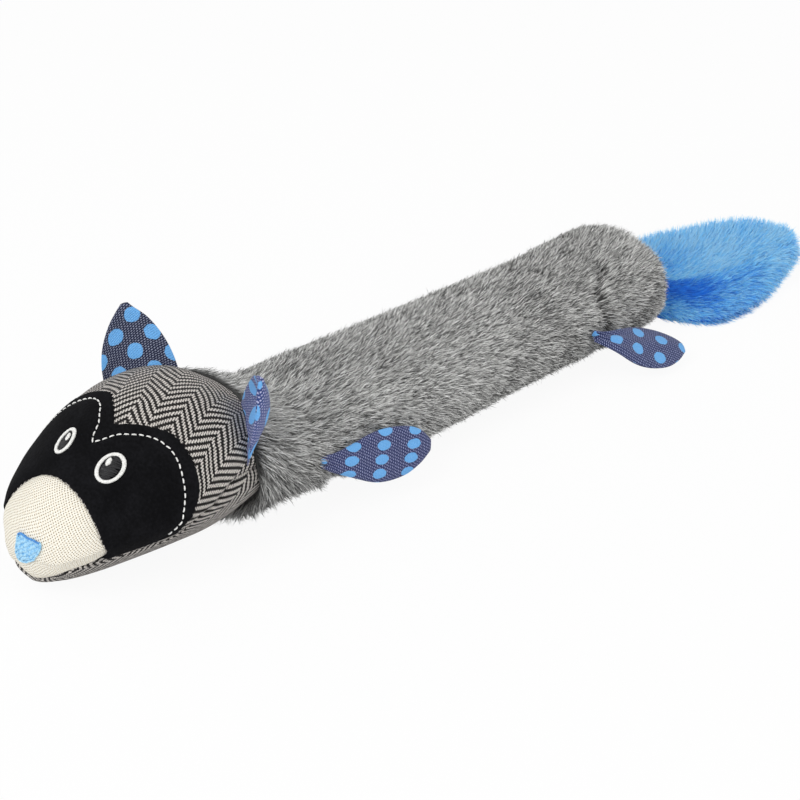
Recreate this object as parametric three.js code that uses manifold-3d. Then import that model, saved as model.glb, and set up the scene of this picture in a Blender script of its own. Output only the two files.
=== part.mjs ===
// A long plush squeaky dog toy: a stuffed tweed head on a slack fur tube, with denim ears and legs and a plush tail.
// It lies on its belly, snout toward -Y and its left side toward +X. Sizes are in millimetres and +Z is up.
import * as THREE from 'three'
import { mergeVertices } from 'three/addons/utils/BufferGeometryUtils.js'
import Module from 'manifold-3d'

const wasm = await Module()
wasm.setup()

// Driving dimensions
const headLength = 94
const headWidth = 82.4
const headHeight = 70.5
const bodyLength = 253
const bodyWidth = 74
const bodyHeight = 46
const tailLength = 98
const tailRise = 30
const earHeight = 25.5
const legLength = 51
const legWidth = 22
const neckSleeveLength = 23
const waistLength = 50
const tweedThickness = 1.2
const suedeThickness = 0.7
const denimThickness = 1
const plushThickness = 4
const seamGap = 0.3
const flatCut = 0.5

// The pose in the photograph: how far the soft toy strays from a straight line
const rearSideStep = -12.8
const tailSideStep = 26
const faceRoll = THREE.MathUtils.degToRad(18.5)
const faceYawShares = [0.116, 0.07, 0.3]
const neckLean = 7

// The head, from the snout's tip to its back edge: place, then shares of half its width and of its height
const headSectionShares = [
  [0, 0, 0.312, 0.312, 0.312],
  [0.15, 0.391, 0.516, 0.292, 0.106],
  [0.3, 0.605, 0.68, 0.34, 0.043],
  [0.45, 0.765, 0.808, 0.391, 0.014],
  [0.6, 0.9, 0.932, 0.434, 0.003],
  [0.75, 0.995, 1, 0.465, 0],
  [0.88, 1, 0.972, 0.472, 0.006],
  [1, 0.874, 0.78, 0.454, 0.07],
]
const headLengthPower = 1.7
const headTopSquareness = 1.87
const headLowSquareness = 1.36
const neckLeanShare = 0.6
const neckLeanBias = 0.3

// The body, from the neck to its rear opening: place, then shares of half its width and of its height
const bodySectionShares = [
  [0, 0.84, 0.93, 0.52, 0.065],
  [0.06, 0.945, 1.01, 0.52, 0.045],
  [0.15, 1, 1, 0.5, 0],
  [0.42, 0.985, 0.96, 0.48, 0],
  [0.52, 0.98, 0.95, 0.48, 0.035],
  [0.68, 0.97, 0.935, 0.47, 0.035],
  [0.8, 0.96, 0.93, 0.46, 0],
  [0.93, 0.945, 0.99, 0.48, 0],
  [0.985, 0.865, 1.045, 0.46, 0.02],
  [1, 0.76, 0.98, 0.46, 0.065],
]
const bodySquareness = 2.2
const tailHeightShare = 0.4

// Face outlines: degrees round from the middle of the face, then the place along the head
const snoutEdgeShares = [
  [0, 0.342], [13, 0.337], [28, 0.325], [41, 0.313], [58, 0.302], [70, 0.304], [80, 0.31], [90, 0.3], [97, 0.235],
  [103, 0.2], [110, 0.17], [118, 0.154], [126, 0.144], [134, 0.136], [144, 0.128], [150, 0.124], [156, 0.12],
  [162, 0.118], [168, 0.116], [174, 0.1153], [180, 0.115]]
const maskEdgeShares = [
  [0, 0.6], [7, 0.636], [15, 0.67], [22, 0.695], [30, 0.702], [39, 0.7],
  [48, 0.692], [57, 0.677], [65, 0.652], [76, 0.619], [92, 0.588],
]
const stitchShares = [
  [0, 0.514], [3, 0.533], [7, 0.575], [12, 0.605], [16, 0.627], [21, 0.646], [27, 0.658], [33, 0.66],
  [40, 0.654], [48, 0.641], [55, 0.629], [63, 0.61], [70, 0.596], [80, 0.58],
]
// The seam between crown and chin: place along the head, then degrees round
const chinSeamShares = [
  [0, 96], [0.34, 97], [0.52, 100], [0.58, 99], [0.62, 91], [0.66, 79], [0.72, 69], [0.77, 62], [0.82, 58.5],
  [0.89, 57], [1, 57]]
const maskSideDegrees = 92

const eyeHeight = 13.2
const eyeWidth = 8.6
const eyeRingWidth = 2
const eyeDegrees = 20
const eyeAlongShare = 0.474
const threadHeight = 0.8
const stitchRadius = 0.45
const noseSize = 13.5
const noseChart = [0.052, 0.025]
const noseCornerShare = 0.18
const glintRadius = 1.1
// How far a millimetre goes on the face at the eyes, in degrees round and in places along the head
const faceRadius = 36
const eyePlaceLength = 108
const noseChartLength = 117

const squeakerRadius = 17
const squeakerHeight = 18
const squeakerWall = 1.2
const reedHolderRadius = 4.5
const reedHolderLength = 9
const reedHolderBore = 2.6
const reedThickness = 0.4

const circle = 2 * Math.PI
const radians = THREE.MathUtils.degToRad
const snoutY = -(headLength + bodyLength + tailLength) / 2
const neckY = snoutY + headLength
const bodyRearY = neckY + bodyLength
const tailTipY = bodyRearY + tailLength + 6

// Reads a table of rows, each a place followed by values, as a smooth curve through its points
function curveAt(rows, place) {
  const last = rows.length - 1
  const slope = (row, column) => {
    const before = rows[Math.max(row - 1, 0)]
    const after = rows[Math.min(row + 1, last)]
    return (after[column] - before[column]) / (after[0] - before[0])
  }
  let row = 0
  while (row < last - 1 && place > rows[row + 1][0]) row += 1
  const span = rows[row + 1][0] - rows[row][0]
  const k = Math.min(Math.max((place - rows[row][0]) / span, 0), 1)
  return rows[row].slice(1).map((value, index) => {
    const column = index + 1
    return value * (1 + 2 * k) * (1 - k) ** 2 + slope(row, column) * span * k * (1 - k) ** 2
      + rows[row + 1][column] * k * k * (3 - 2 * k) + slope(row + 1, column) * span * k * k * (k - 1)
  })
}

// A point of a rounded cross-section, at an angle from its top toward +X, flattened on the floor
function sectionPoint(halfWidth, top, middle, bottom, squareness, angle) {
  const power = 2 / squareness
  const across = Math.sign(Math.sin(angle)) * Math.abs(Math.sin(angle)) ** power
  const rise = Math.sign(Math.cos(angle)) * Math.abs(Math.cos(angle)) ** power
  const height = middle + rise * (rise > 0 ? top - middle : middle - bottom)
  return new THREE.Vector3(halfWidth * across, 0, Math.max(height, 0))
}

function headSurface(along, angle) {
  const [width, top, middle, bottom] = curveAt(headSectionShares, along)
  const squareness = Math.cos(angle) > 0 ? headTopSquareness : headLowSquareness
  const lengthShare = along ** headLengthPower
  const point = sectionPoint(
    width * headWidth / 2, top * headHeight, middle * headHeight, bottom * headHeight - flatCut, squareness, angle)
  const leaning = Math.max(0, (along - neckLeanShare) / (1 - neckLeanShare)) ** 2
  point.y = snoutY + headLength * lengthShare + neckLean * leaning * (Math.cos(angle) - neckLeanBias)
  return point
}

// A point that stands off the head's surface by lift, along its outward normal
function headPoint(along, angle, lift = 0) {
  const step = 1e-3
  const place = Math.min(Math.max(along, step), 1)
  const point = headSurface(place, angle)
  const round = headSurface(place, angle + step).sub(headSurface(place, angle - step))
  const back = headSurface(Math.min(place + step, 1), angle).sub(headSurface(place - step, angle))
  return point.addScaledVector(round.cross(back).normalize(), lift)
}

// The face's own angles and places, rolled and turned toward the camera as the photograph has them
function facePoint(along, faceAngle, lift) {
  const [most, less, fullFrom] = faceYawShares
  const turned = along + (most - less * along) * Math.min(1, along / fullFrom) * Math.sin(faceAngle)
  return headPoint(Math.min(turned, 1), faceAngle + faceRoll, lift)
}

function sideStep(y) {
  const share = Math.min(Math.max((y - neckY) / bodyLength, 0), 1)
  return rearSideStep * share
}

function bodyPoint(y, angle, inset = 0) {
  const [width, top, middle, bottom] = curveAt(bodySectionShares, (y - neckY) / bodyLength)
  const cutBottom = bottom * bodyHeight - flatCut
  const lowest = inset > 0 ? Math.max(cutBottom, 0) + inset : cutBottom
  const point = sectionPoint(
    width * bodyWidth / 2 - inset, top * bodyHeight - inset, middle * bodyHeight, lowest, bodySquareness, angle)
  point.x += sideStep(y)
  point.y = y
  return point
}

// Grids of points: rows of points, with the columns running round or across
function grid(rows, columns, point) {
  return Array.from({ length: rows + 1 }, (_, row) =>
    Array.from({ length: columns + 1 }, (_, column) => point(row / rows, column / columns)))
}

function gridQuads(points) {
  const quads = []
  for (let row = 0; row < points.length - 1; row += 1) {
    for (let column = 0; column < points[row].length - 1; column += 1) {
      quads.push([
        points[row][column], points[row][column + 1], points[row + 1][column + 1], points[row + 1][column]])
    }
  }
  return quads
}

const reversed = (quads) => quads.map((quad) => [...quad].reverse())

function solidOf(quads) {
  const positions = []
  for (const [a, b, c, d] of quads) {
    for (const corner of [a, b, c, a, c, d]) positions.push(corner.x, corner.y, corner.z)
  }
  const loose = new THREE.BufferGeometry()
  loose.setAttribute('position', new THREE.Float32BufferAttribute(positions, 3))
  const merged = mergeVertices(loose, 1e-3)
  const kept = []
  let volume = 0
  const corners = [0, 1, 2].map(() => new THREE.Vector3())
  const index = merged.index.array
  for (let at = 0; at < index.length; at += 3) {
    const [i, j, k] = index.slice(at, at + 3)
    if (i === j || j === k || k === i) continue
    kept.push(i, j, k)
    corners.forEach((corner, n) => corner.fromBufferAttribute(merged.attributes.position, [i, j, k][n]))
    volume += corners[0].dot(corners[1].clone().cross(corners[2]))
  }
  if (volume < 0) kept.reverse()
  merged.setIndex(kept)
  merged.computeVertexNormals()
  return merged
}

// A cloth patch between an outer and an inner grid. Round patches have columns that close on themselves.
function patch(outer, inner, round = false) {
  const quads = [...gridQuads(outer), ...reversed(gridQuads(inner))]
  const last = outer.length - 1
  quads.push(...reversed(gridQuads([outer[0], inner[0]])))
  quads.push(...gridQuads([outer[last], inner[last]]))
  if (!round) {
    const side = (points, column) => points.map((row) => row[column])
    const end = outer[0].length - 1
    quads.push(...gridQuads([side(outer, 0), side(inner, 0)]))
    quads.push(...reversed(gridQuads([side(outer, end), side(inner, end)])))
  }
  return solidOf(quads)
}

// A filled form through rings of points, closed at both ends on the rings' middles
function filledForm(rings) {
  const middle = (ring) => {
    const sum = ring.slice(1).reduce((total, point) => total.add(point), new THREE.Vector3())
    return ring.map(() => sum.clone().divideScalar(ring.length - 1))
  }
  const closed = [middle(rings[0]), ...rings, middle(rings[rings.length - 1])]
  closed.forEach((ring) => { ring[ring.length - 1] = ring[0].clone() })
  return solidOf(gridQuads(closed))
}

function manifoldOf(geometry) {
  const bare = geometry.clone()
  bare.deleteAttribute('normal')
  bare.deleteAttribute('uv')
  const merged = mergeVertices(bare, 1e-3)
  const triVerts = Uint32Array.from(merged.index.array)
  return new wasm.Manifold(new wasm.Mesh({ numProp: 3, vertProperties: merged.attributes.position.array, triVerts }))
}

function geometryOf(manifold) {
  const mesh = manifold.getMesh()
  const geometry = new THREE.BufferGeometry()
  geometry.setAttribute('position', new THREE.BufferAttribute(mesh.vertProperties, mesh.numProp))
  geometry.setIndex(new THREE.BufferAttribute(mesh.triVerts, 1))
  geometry.computeVertexNormals()
  return geometry
}

const cloth = (color, roughness) => new THREE.MeshStandardMaterial({ color, roughness, metalness: 0 })
const tweed = cloth(0x6b6561, 0.9)
const suede = cloth(0x111112, 0.95)
const canvas = cloth(0xefe3c9, 0.9)
const denim = cloth(0x34345c, 0.85)
const greyPlush = cloth(0x8a8a86, 1)
const bluePlush = cloth(0x4fa6ee, 1)
const whiteThread = cloth(0xf2f2ee, 0.6)
const blackThread = cloth(0x151518, 0.4)
const blueThread = cloth(0x4a9fe6, 0.6)
const fibre = cloth(0xf4f4f2, 1)
const vinyl = new THREE.MeshStandardMaterial({ color: 0xe9e9e4, roughness: 0.45, metalness: 0 })
const hardPlastic = new THREE.MeshStandardMaterial({ color: 0xd8e6f2, roughness: 0.3, metalness: 0 })

const toy = new THREE.Group()

function add(name, geometry, material) {
  const mesh = new THREE.Mesh(geometry, material)
  mesh.name = name
  toy.add(mesh)
  return mesh
}

// Head panels
const mirrored = (rows, degrees) => curveAt(rows, Math.abs(degrees))[0]
const gapAlong = seamGap / headLength
const chinSeam = (along) => curveAt(chinSeamShares, along)[0]
const gapDegrees = THREE.MathUtils.radToDeg(seamGap / (headWidth / 2))

// The panels round the snout share its columns, so that their edges run side by side
const sideColumns = snoutEdgeShares.map(([degrees]) => degrees)
const roundColumns = [...sideColumns.slice(1).reverse().map((degrees) => -degrees), ...sideColumns]
const snoutEdge = (degrees) => mirrored(snoutEdgeShares, Math.abs(degrees) > 180 ? 360 - Math.abs(degrees) : degrees)

function snoutPanel() {
  const surface = (lift) => Array.from({ length: 6 }, (_, row) => roundColumns.map((degrees) =>
    facePoint(row / 5 * snoutEdge(degrees), radians(degrees), lift)))
  return patch(surface(0), surface(-tweedThickness), true)
}

// A tweed panel between two seams, from behind the snout panel to the neck
function tweedPanel(columns, leftSeam, rightSeam) {
  const first = columns[0]
  const span = columns[columns.length - 1] - first
  const surface = (lift) => Array.from({ length: 11 }, (_, row) => columns.map((column) => {
    const start = snoutEdge(column) + 2 * gapAlong
    const along = start + (1 - start) * row / 10
    const degrees = leftSeam(along) + (rightSeam(along) - leftSeam(along)) * (column - first) / span
    return facePoint(along, radians(degrees), lift)
  }))
  return patch(surface(0), surface(-tweedThickness))
}

function maskPanel() {
  const surface = (lift) => grid(6, 26, (back, across) => {
    const degrees = (across - 0.5) * 2 * maskSideDegrees
    const front = mirrored(snoutEdgeShares, degrees) + 3 * gapAlong
    const along = front + (mirrored(maskEdgeShares, degrees) - front) * back
    return facePoint(along, radians(degrees), lift)
  })
  return patch(surface(seamGap + suedeThickness), surface(seamGap))
}

const maskTop = seamGap + suedeThickness

// The running stitch on the mask: one thread that humps up at each stitch
function maskStitching() {
  const stitches = 30
  const stepsPerStitch = 3
  const steps = stitches * stepsPerStitch
  const end = stitchShares[stitchShares.length - 1][0]
  const path = Array.from({ length: steps + 1 }, (_, step) => {
    const degrees = (step / steps - 0.5) * 2 * end
    const hump = stitchRadius * (step % stepsPerStitch === 0 ? 0 : 1)
    return facePoint(mirrored(stitchShares, degrees), radians(degrees), maskTop + seamGap + stitchRadius + hump)
  })
  const sides = 4
  const rings = path.map((point, step) => {
    const ahead = path[Math.min(step + 1, steps)].clone().sub(path[Math.max(step - 1, 0)]).normalize()
    const across = ahead.clone().cross(new THREE.Vector3(0, -1, 1)).normalize()
    const rise = across.clone().cross(ahead)
    return Array.from({ length: sides + 1 }, (_, side) => {
      const turn = side / sides * circle
      return point.clone()
        .addScaledVector(across, stitchRadius * Math.cos(turn))
        .addScaledVector(rise, stitchRadius * Math.sin(turn))
    })
  })
  return filledForm(rings)
}

// A round patch on the face about an eye's middle, from one radius share to another
function eyePatch(side, innerShare, outerShare, low, high, offset = [0, 0]) {
  const surface = (lift) => grid(2, 18, (out, turn) => {
    const share = innerShare + (outerShare - innerShare) * out
    const across = share * eyeWidth / 2 * Math.cos(turn * circle) + offset[0]
    const up = share * eyeHeight / 2 * Math.sin(turn * circle) + offset[1]
    const bulge = innerShare > 0 ? Math.sin(out * Math.PI) : 1 - out
    const height = lift === high ? low + (high - low) * (0.6 + 0.4 * bulge) : lift
    const angle = side * (radians(eyeDegrees) + across / faceRadius)
    return facePoint(eyeAlongShare + up / eyePlaceLength, angle, height)
  })
  return patch(surface(high), surface(low), true)
}

function nosePatch() {
  const shape = (turn) => 1 - noseCornerShare * Math.cos(3 * turn)
  const surface = (lift) => grid(3, 18, (out, share) => {
    const turn = share * circle
    const radius = out * noseSize / 2 * shape(turn) / noseChartLength
    const p = noseChart[0] + radius * Math.sin(turn)
    const q = noseChart[1] + radius * Math.cos(turn)
    return headPoint(Math.hypot(p, q), Math.atan2(p, q), lift)
  })
  return patch(surface(seamGap + threadHeight), surface(seamGap), true)
}

add('snout_panel', snoutPanel(), canvas)
const crownColumns = roundColumns.filter((degrees) => Math.abs(degrees) < chinSeam(0))
const chinColumns = [...sideColumns, ...sideColumns.map((degrees) => 360 - degrees).reverse()]
  .filter((degrees, at, all) => degrees > chinSeam(0) && degrees < 360 - chinSeam(0) && degrees !== all[at - 1])
add('crown_panel', tweedPanel(
  [-chinSeam(0), ...crownColumns, chinSeam(0)], (along) => -chinSeam(along), chinSeam), tweed)
add('chin_panel', tweedPanel(
  [chinSeam(0), ...chinColumns, 360 - chinSeam(0)],
  (along) => chinSeam(along) + 2 * gapDegrees, (along) => 360 - chinSeam(along) - 2 * gapDegrees), tweed)
add('mask_applique', maskPanel(), suede)
add('mask_stitching', maskStitching(), whiteThread)
add('nose_embroidery', nosePatch(), blueThread)
for (const [name, side] of [['left', 1], ['right', -1]]) {
  const ringInner = 1 - eyeRingWidth / (eyeWidth / 2)
  const low = maskTop + seamGap
  const high = low + threadHeight
  add(`eye_ring_${name}`, eyePatch(side, ringInner, 1, low, high), whiteThread)
  add(`eye_pupil_${name}`, eyePatch(side, 0, ringInner - seamGap / (eyeWidth / 2), low, high), blackThread)
  const glintShare = glintRadius / (eyeWidth / 2)
  add(`eye_glint_${name}`, eyePatch(side, 0, glintShare, high + seamGap, high + seamGap + threadHeight,
    [-glintRadius * side, glintRadius * 1.5]), whiteThread)
}

// Squeakers: a hollow bulb with a mouth on top, a flanged reed holder in it, and the reed in the holder's bore
const bulbSteps = 8
const bulbReach = Math.PI / 2 + 1.1
const pocketSteps = 5

// The bulb's outline from the middle of its underside up to its shoulder
function bulbOutline(radius, half) {
  return Array.from({ length: bulbSteps + 1 }, (_, step) => {
    const turn = (step / bulbSteps) * bulbReach - Math.PI / 2
    return new THREE.Vector2(step === 0 ? 0 : radius * Math.cos(turn), half * Math.sin(turn))
  })
}

function squeakerBulb() {
  const half = squeakerHeight / 2
  const mouth = reedHolderRadius + seamGap
  const outside = bulbOutline(squeakerRadius, half)
  const rim = [new THREE.Vector2(mouth + squeakerWall, half), new THREE.Vector2(mouth, half)]
  const inside = bulbOutline(squeakerRadius - squeakerWall, half - squeakerWall)
  return new THREE.LatheGeometry([...outside, ...rim, ...inside.reverse()], 20)
}

// The pocket for it: the bulb's lower half, carried straight up through the filling
function squeakerPocket() {
  const radius = squeakerRadius + seamGap
  const half = squeakerHeight / 2 + seamGap
  const lower = bulbOutline(radius, half).slice(0, pocketSteps)
  const shaft = [[radius, half], [radius, bodyHeight * 2], [0, bodyHeight * 2]].map(([x, y]) => new THREE.Vector2(x, y))
  return new THREE.LatheGeometry([...lower, ...shaft], 20)
}

function squeaker(name, centre) {
  const half = squeakerHeight / 2
  const upright = (geometry, lift) => geometry.rotateX(Math.PI / 2).translate(centre.x, centre.y, centre.z + lift)
  const flange = reedHolderRadius + 2 * squeakerWall
  const top = half + seamGap
  const holder = [
    [reedHolderBore, top - reedHolderLength], [reedHolderRadius, top - reedHolderLength], [reedHolderRadius, top],
    [flange, top], [flange, top + squeakerWall], [reedHolderBore, top + squeakerWall],
    [reedHolderBore, top - reedHolderLength]].map(([x, y]) => new THREE.Vector2(x, y))
  add(`${name}_squeaker_bulb`, upright(squeakerBulb(), 0), vinyl)
  add(`${name}_squeaker_reed_holder`, upright(new THREE.LatheGeometry(holder, 16), 0), hardPlastic)
  const reed = new THREE.BoxGeometry(reedThickness, 2 * (reedHolderBore - seamGap), reedHolderLength)
  add(`${name}_squeaker_reed`, reed.translate(centre.x, centre.y, centre.z + top - reedHolderLength / 2), hardPlastic)
  return manifoldOf(upright(squeakerPocket(), 0))
}

// Fibre filling, with an open pocket for the squeaker
const fillingGap = 3.5 * seamGap
const ringOf = (columns, point) => Array.from({ length: columns + 1 }, (_, column) => point(column / columns * circle))

function addFilling(name, rings, pocket) {
  const filling = filledForm(rings)
  add(name, pocket ? geometryOf(manifoldOf(filling).subtract(pocket)) : filling, fibre)
}

const headFillPlaces = [0.1, 0.2, 0.32, 0.45, 0.58, 0.7, 0.82, 0.91, 0.975]
const headSqueakerShares = [0.56, 0.46]
const headSqueaker = new THREE.Vector3(
  0, snoutY + headLength * headSqueakerShares[0], headHeight * headSqueakerShares[1])
const headRings = headFillPlaces.map((along) =>
  ringOf(22, (angle) => headPoint(along, angle, -tweedThickness - fillingGap)))
addFilling('head_filling', headRings, squeaker('head', headSqueaker))

// Body: three stretches of the fur tube. The neck sleeve and the middle stretch bend with the joints.
const frontStartY = neckY + neckSleeveLength
const waistPlaceShare = 0.575
const waistStartY = frontStartY + (bodyLength - neckSleeveLength - waistLength) * waistPlaceShare
const waistEndY = waistStartY + waistLength
const tubeColumns = 22

// Half a column's turn puts a flat strip, and not an edge, under the tube
const tubeAngle = (turn) => (turn + 1 / (2 * tubeColumns)) * circle

function tubePoints(fromY, toY, rows, inset) {
  return grid(rows, tubeColumns, (back, turn) => bodyPoint(fromY + (toY - fromY) * back, tubeAngle(turn), inset))
}

function tubeStretch(fromY, toY, rows) {
  return patch(tubePoints(fromY, toY, rows, 0), tubePoints(fromY, toY, rows, plushThickness), true)
}

function neckSleeve() {
  const rear = frontStartY - seamGap
  const between = (inset) => grid(2, tubeColumns, (back, turn) => {
    const start = headPoint(1, tubeAngle(turn), -inset)
    start.y += 2 * seamGap
    return start.lerp(bodyPoint(rear, tubeAngle(turn), inset), back)
  })
  return patch(between(0), between(plushThickness), true)
}

// The rear stretch ends in a flat cap that leaves an opening for the tail's root. Rows: ring size, then how far out
const rearCapShares = [[0.95, 0.15], [0.84, 0.22], [0.72, 0.25]]
function rearStretch() {
  const capped = (inset) => {
    const rows = tubePoints(waistEndY + seamGap, bodyRearY - inset, 6, inset)
    const ring = rows[rows.length - 1]
    const centre = new THREE.Vector3(sideStep(bodyRearY), bodyRearY - inset, bodyHeight * tailHeightShare)
    return [...rows, ...rearCapShares.map(([size, out]) => ring.map((point) => {
      const drawn = centre.clone().lerp(point, size)
      drawn.y += out * plushThickness
      return drawn
    }))]
  }
  return patch(capped(0), capped(plushThickness), true)
}

const bodyMiddle = (y) => curveAt(bodySectionShares, (y - neckY) / bodyLength)[2] * bodyHeight
const neckPivot = new THREE.Vector3(sideStep(neckY), neckY + neckSleeveLength / 2, bodyMiddle(neckY) + plushThickness)
const waistY = (waistStartY + waistEndY) / 2
const waistPivot = new THREE.Vector3(sideStep(waistY), waistY, bodyMiddle(waistY))

add('neck_sleeve', neckSleeve(), greyPlush)
add('plush_tube_front', tubeStretch(frontStartY, waistStartY - seamGap, 6), greyPlush)
add('plush_tube_middle', tubeStretch(waistStartY, waistEndY, 4), greyPlush)
add('plush_tube_rear', rearStretch(), greyPlush)

// A round ball of filling that lets its neighbours' flat faces turn about it
function fillingBall(name, centre, radius, height) {
  const ball = new THREE.SphereGeometry(1, 16, 10)
  ball.scale(radius, radius, height)
  add(name, ball.translate(centre.x, centre.y, centre.z), fibre)
}

const waistFillShare = 0.43
const tailRootRadius = 7
const tailRootInset = 1.5
const fillInset = plushThickness + fillingGap
const tailPivot = new THREE.Vector3(rearSideStep, bodyRearY - tailRootInset, bodyHeight * tailHeightShare)
const rearFillEndY = tailPivot.y - tailRootRadius - 3 * seamGap
const bodyRings = (fromY, toY, rows) => Array.from({ length: rows + 1 }, (_, row) =>
  ringOf(tubeColumns, (angle) => bodyPoint(fromY + (toY - fromY) * row / rows, angle, fillInset)))
const squeakerAt = (y) => new THREE.Vector3(sideStep(y), y, bodyMiddle(y) - reedHolderLength / 4)

fillingBall('neck_filling', neckPivot, neckSleeveLength / 2 - seamGap, neckSleeveLength / 2 - seamGap)
addFilling('body_filling_front', bodyRings(frontStartY, waistStartY - seamGap, 5),
  squeaker('front', squeakerAt((frontStartY + waistStartY) / 2)))
fillingBall('body_filling_middle', waistPivot, waistLength / 2 - seamGap,
  bodyHeight * waistFillShare - plushThickness - 2 * seamGap)
addFilling('body_filling_rear', bodyRings(waistEndY + seamGap, rearFillEndY, 4),
  squeaker('rear', squeakerAt((waistEndY + rearFillEndY) / 2)))

// A sewn leaf of two denim panels. Base gives the root's line from -1 to 1, and out runs from it to the tip.
function leafPanel(base, frame, outline, length, cup, side) {
  const surface = (offset) => grid(6, 6, (out, column) => {
    const across = column * 2 - 1
    const place = 1 - (1 - out) ** 1.4
    const [low, high] = curveAt(outline, place)
    const puff = (1 - across ** 4) * Math.min(1, 4 * out + 0.1) * (out < 1 ? 1 : 0)
    const lift = cup * (1 - across ** 2) * Math.sin(Math.PI * Math.min(place, 0.9))
    return base(low + (high - low) * column)
      .addScaledVector(frame.out, place * length)
      .addScaledVector(frame.face, side * (seamGap / 2 + offset * (0.4 + 0.6 * puff)) + lift)
  })
  return patch(surface(denimThickness), surface(0))
}

function frameOf(origin, out, across) {
  const outward = out.clone().normalize()
  const sideways = across.clone().addScaledVector(outward, -across.dot(outward)).normalize()
  return { origin, out: outward, across: sideways, face: outward.clone().cross(sideways).normalize() }
}

// Ears: the base runs over the crown from an inner back place to an outer front one
const earOutlineShares = [
  [0, -0.98, 0.98], [0.25, -0.87, 0.98], [0.5, -0.68, 0.88], [0.75, -0.38, 0.64], [0.92, -0.06, 0.38], [1, 0.06, 0.24]]
const earLift = 0.9
const earEndRise = 1.4
const earLean = [0.22, 0.08, 0.96]
const earPlaces = {
  left: { inner: [0.985, 25], outer: [0.9, 74], side: 1 },
  right: { inner: [0.905, -10], outer: [0.745, -38], side: -1 },
}
const earCup = 2.5
const hinges = { neck: neckPivot, waist: waistPivot, tail: tailPivot }
for (const [name, { inner, outer, side }] of Object.entries(earPlaces)) {
  const base = (across) => {
    const share = (across + 1) / 2
    const along = inner[0] + (outer[0] - inner[0]) * share
    const lift = earLift * (1 + earEndRise * across ** 2)
    return headPoint(along, radians(inner[1] + (outer[1] - inner[1]) * share), lift)
  }
  const lean = new THREE.Vector3(earLean[0] * side, earLean[1], earLean[2])
  const frame = frameOf(base(0), lean, base(1).sub(base(-1)))
  hinges[`ear_${name}`] = { at: frame.origin, axis: frame.across }
  for (const [panel, facing] of [['front', -side], ['back', side]]) {
    const geometry = leafPanel(base, frame, earOutlineShares, earHeight, earCup * side, facing)
    add(`ear_${panel}_panel_${name}`, geometry, denim)
  }
}

// Legs: leaves with a narrow root in the side seam, the free end back along the flank
const legOutlineShares = [
  [0, -0.3, 0.16], [0.12, -0.55, 0.2], [0.25, -0.78, 0.38], [0.5, -1.15, 0.76], [0.75, -1.08, 0.8],
  [0.9, -0.74, 0.58], [1, -0.28, 0.14]]
const legPlaces = {
  front: { along: 0.09, standOff: 1.1, degrees: 80, out: [0.13, 0.975, -0.17], up: [-0.2, 0.18, 0.96] },
  rear: { along: 0.75, standOff: 1.4, degrees: 83, out: [0.27, 0.88, -0.33], up: [-0.72, 0.42, 0.45] },
}
for (const [place, { along, standOff, degrees, out, up }] of Object.entries(legPlaces)) {
  for (const [name, side] of [['left', 1], ['right', -1]]) {
    const root = bodyPoint(neckY + bodyLength * along, radians(degrees) * side)
    root.x += standOff * side
    const frame = frameOf(root, new THREE.Vector3(out[0] * side, out[1], out[2]),
      new THREE.Vector3(up[0] * side, up[1], up[2]))
    const base = (across) => root.clone().addScaledVector(frame.across, across * legWidth / 2)
    hinges[`leg_${place}_${name}`] = { at: root, axis: frame.across }
    for (const [panel, facing] of [['upper', -side], ['lower', side]]) {
      const geometry = leafPanel(base, frame, legOutlineShares, legLength, 0, facing)
      add(`leg_${place}_${name}_${panel}_panel`, geometry, denim)
    }
  }
}

// Tail: a cupped leaf whose near half lies on the floor. Rows: place, near edge, far edge, then the heights of the
// near edge, the valley and the far edge, as shares of the tail's length and rise
const tailShares = [
  [0, 0.13, -0.12, 0.36, 0.5, 0.74],
  [0.2, 0.32, -0.17, 0.05, 0.36, 0.97],
  [0.4, 0.34, -0.17, 0.03, 0.26, 0.97],
  [0.6, 0.27, -0.16, 0.06, 0.28, 0.96],
  [0.8, 0.17, -0.1, 0.15, 0.36, 0.88],
  [1, 0.02, -0.02, 0.42, 0.5, 0.62],
]
const tailStartY = tailPivot.y + tailRootRadius + seamGap
const tailPlushShare = 0.8
const tailPlush = plushThickness * tailPlushShare

function tailPoint(along, across, lift) {
  const [near, far, nearRise, valleyRise, farRise] = curveAt(tailShares, along)
  const middle = new THREE.Vector3(
    rearSideStep + tailSideStep * along, tailStartY + (tailTipY - tailStartY) * along, 0)
  const edge = across < 0 ? -near * across : far * across
  const rise = across < 0
    ? valleyRise + (nearRise - valleyRise) * across ** 2
    : valleyRise + (farRise - valleyRise) * across ** 1.5
  middle.x += edge * tailLength
  middle.y -= edge * tailSideStep * Math.min(1, 3 * along)
  middle.z = Math.max(rise * tailRise + lift, lift < 0 ? 0 : tailPlush + lift)
  return middle
}

function tailPanel(low, high) {
  const surface = (lift) => grid(8, 8, (back, column) => {
    const edgeShare = 1 - Math.abs(column * 2 - 1) ** 6
    return tailPoint(back, column * 2 - 1, low + (lift - low) * (0.25 + 0.75 * edgeShare))
  })
  return patch(surface(high), surface(low))
}

fillingBall('tail_root', tailPivot, tailRootRadius, tailRootRadius)
add('tail_upper_panel', tailPanel(seamGap, tailPlush + seamGap), bluePlush)
add('tail_lower_panel', tailPanel(0, -tailPlush), bluePlush)

// Where the soft joints bend, for whoever sets up the motion
toy.userData.hinges = hinges

// The origin is on the floor, under the middle of the toy's box
const box = new THREE.Box3().setFromObject(toy)
const middle = box.getCenter(new THREE.Vector3())
toy.position.set(-middle.x, -middle.y, 0)

export default toy
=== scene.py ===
# A long plush squeaky dog toy: a stuffed tweed head on a slack fur tube, with dotted denim ears and legs and a
# blue plush tail. Sizes in the tables are millimetres, with the snout toward -Y; meshes are built in metres.
import math
import bpy
import bmesh
import numpy as np
from mathutils import Matrix, Vector


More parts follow.
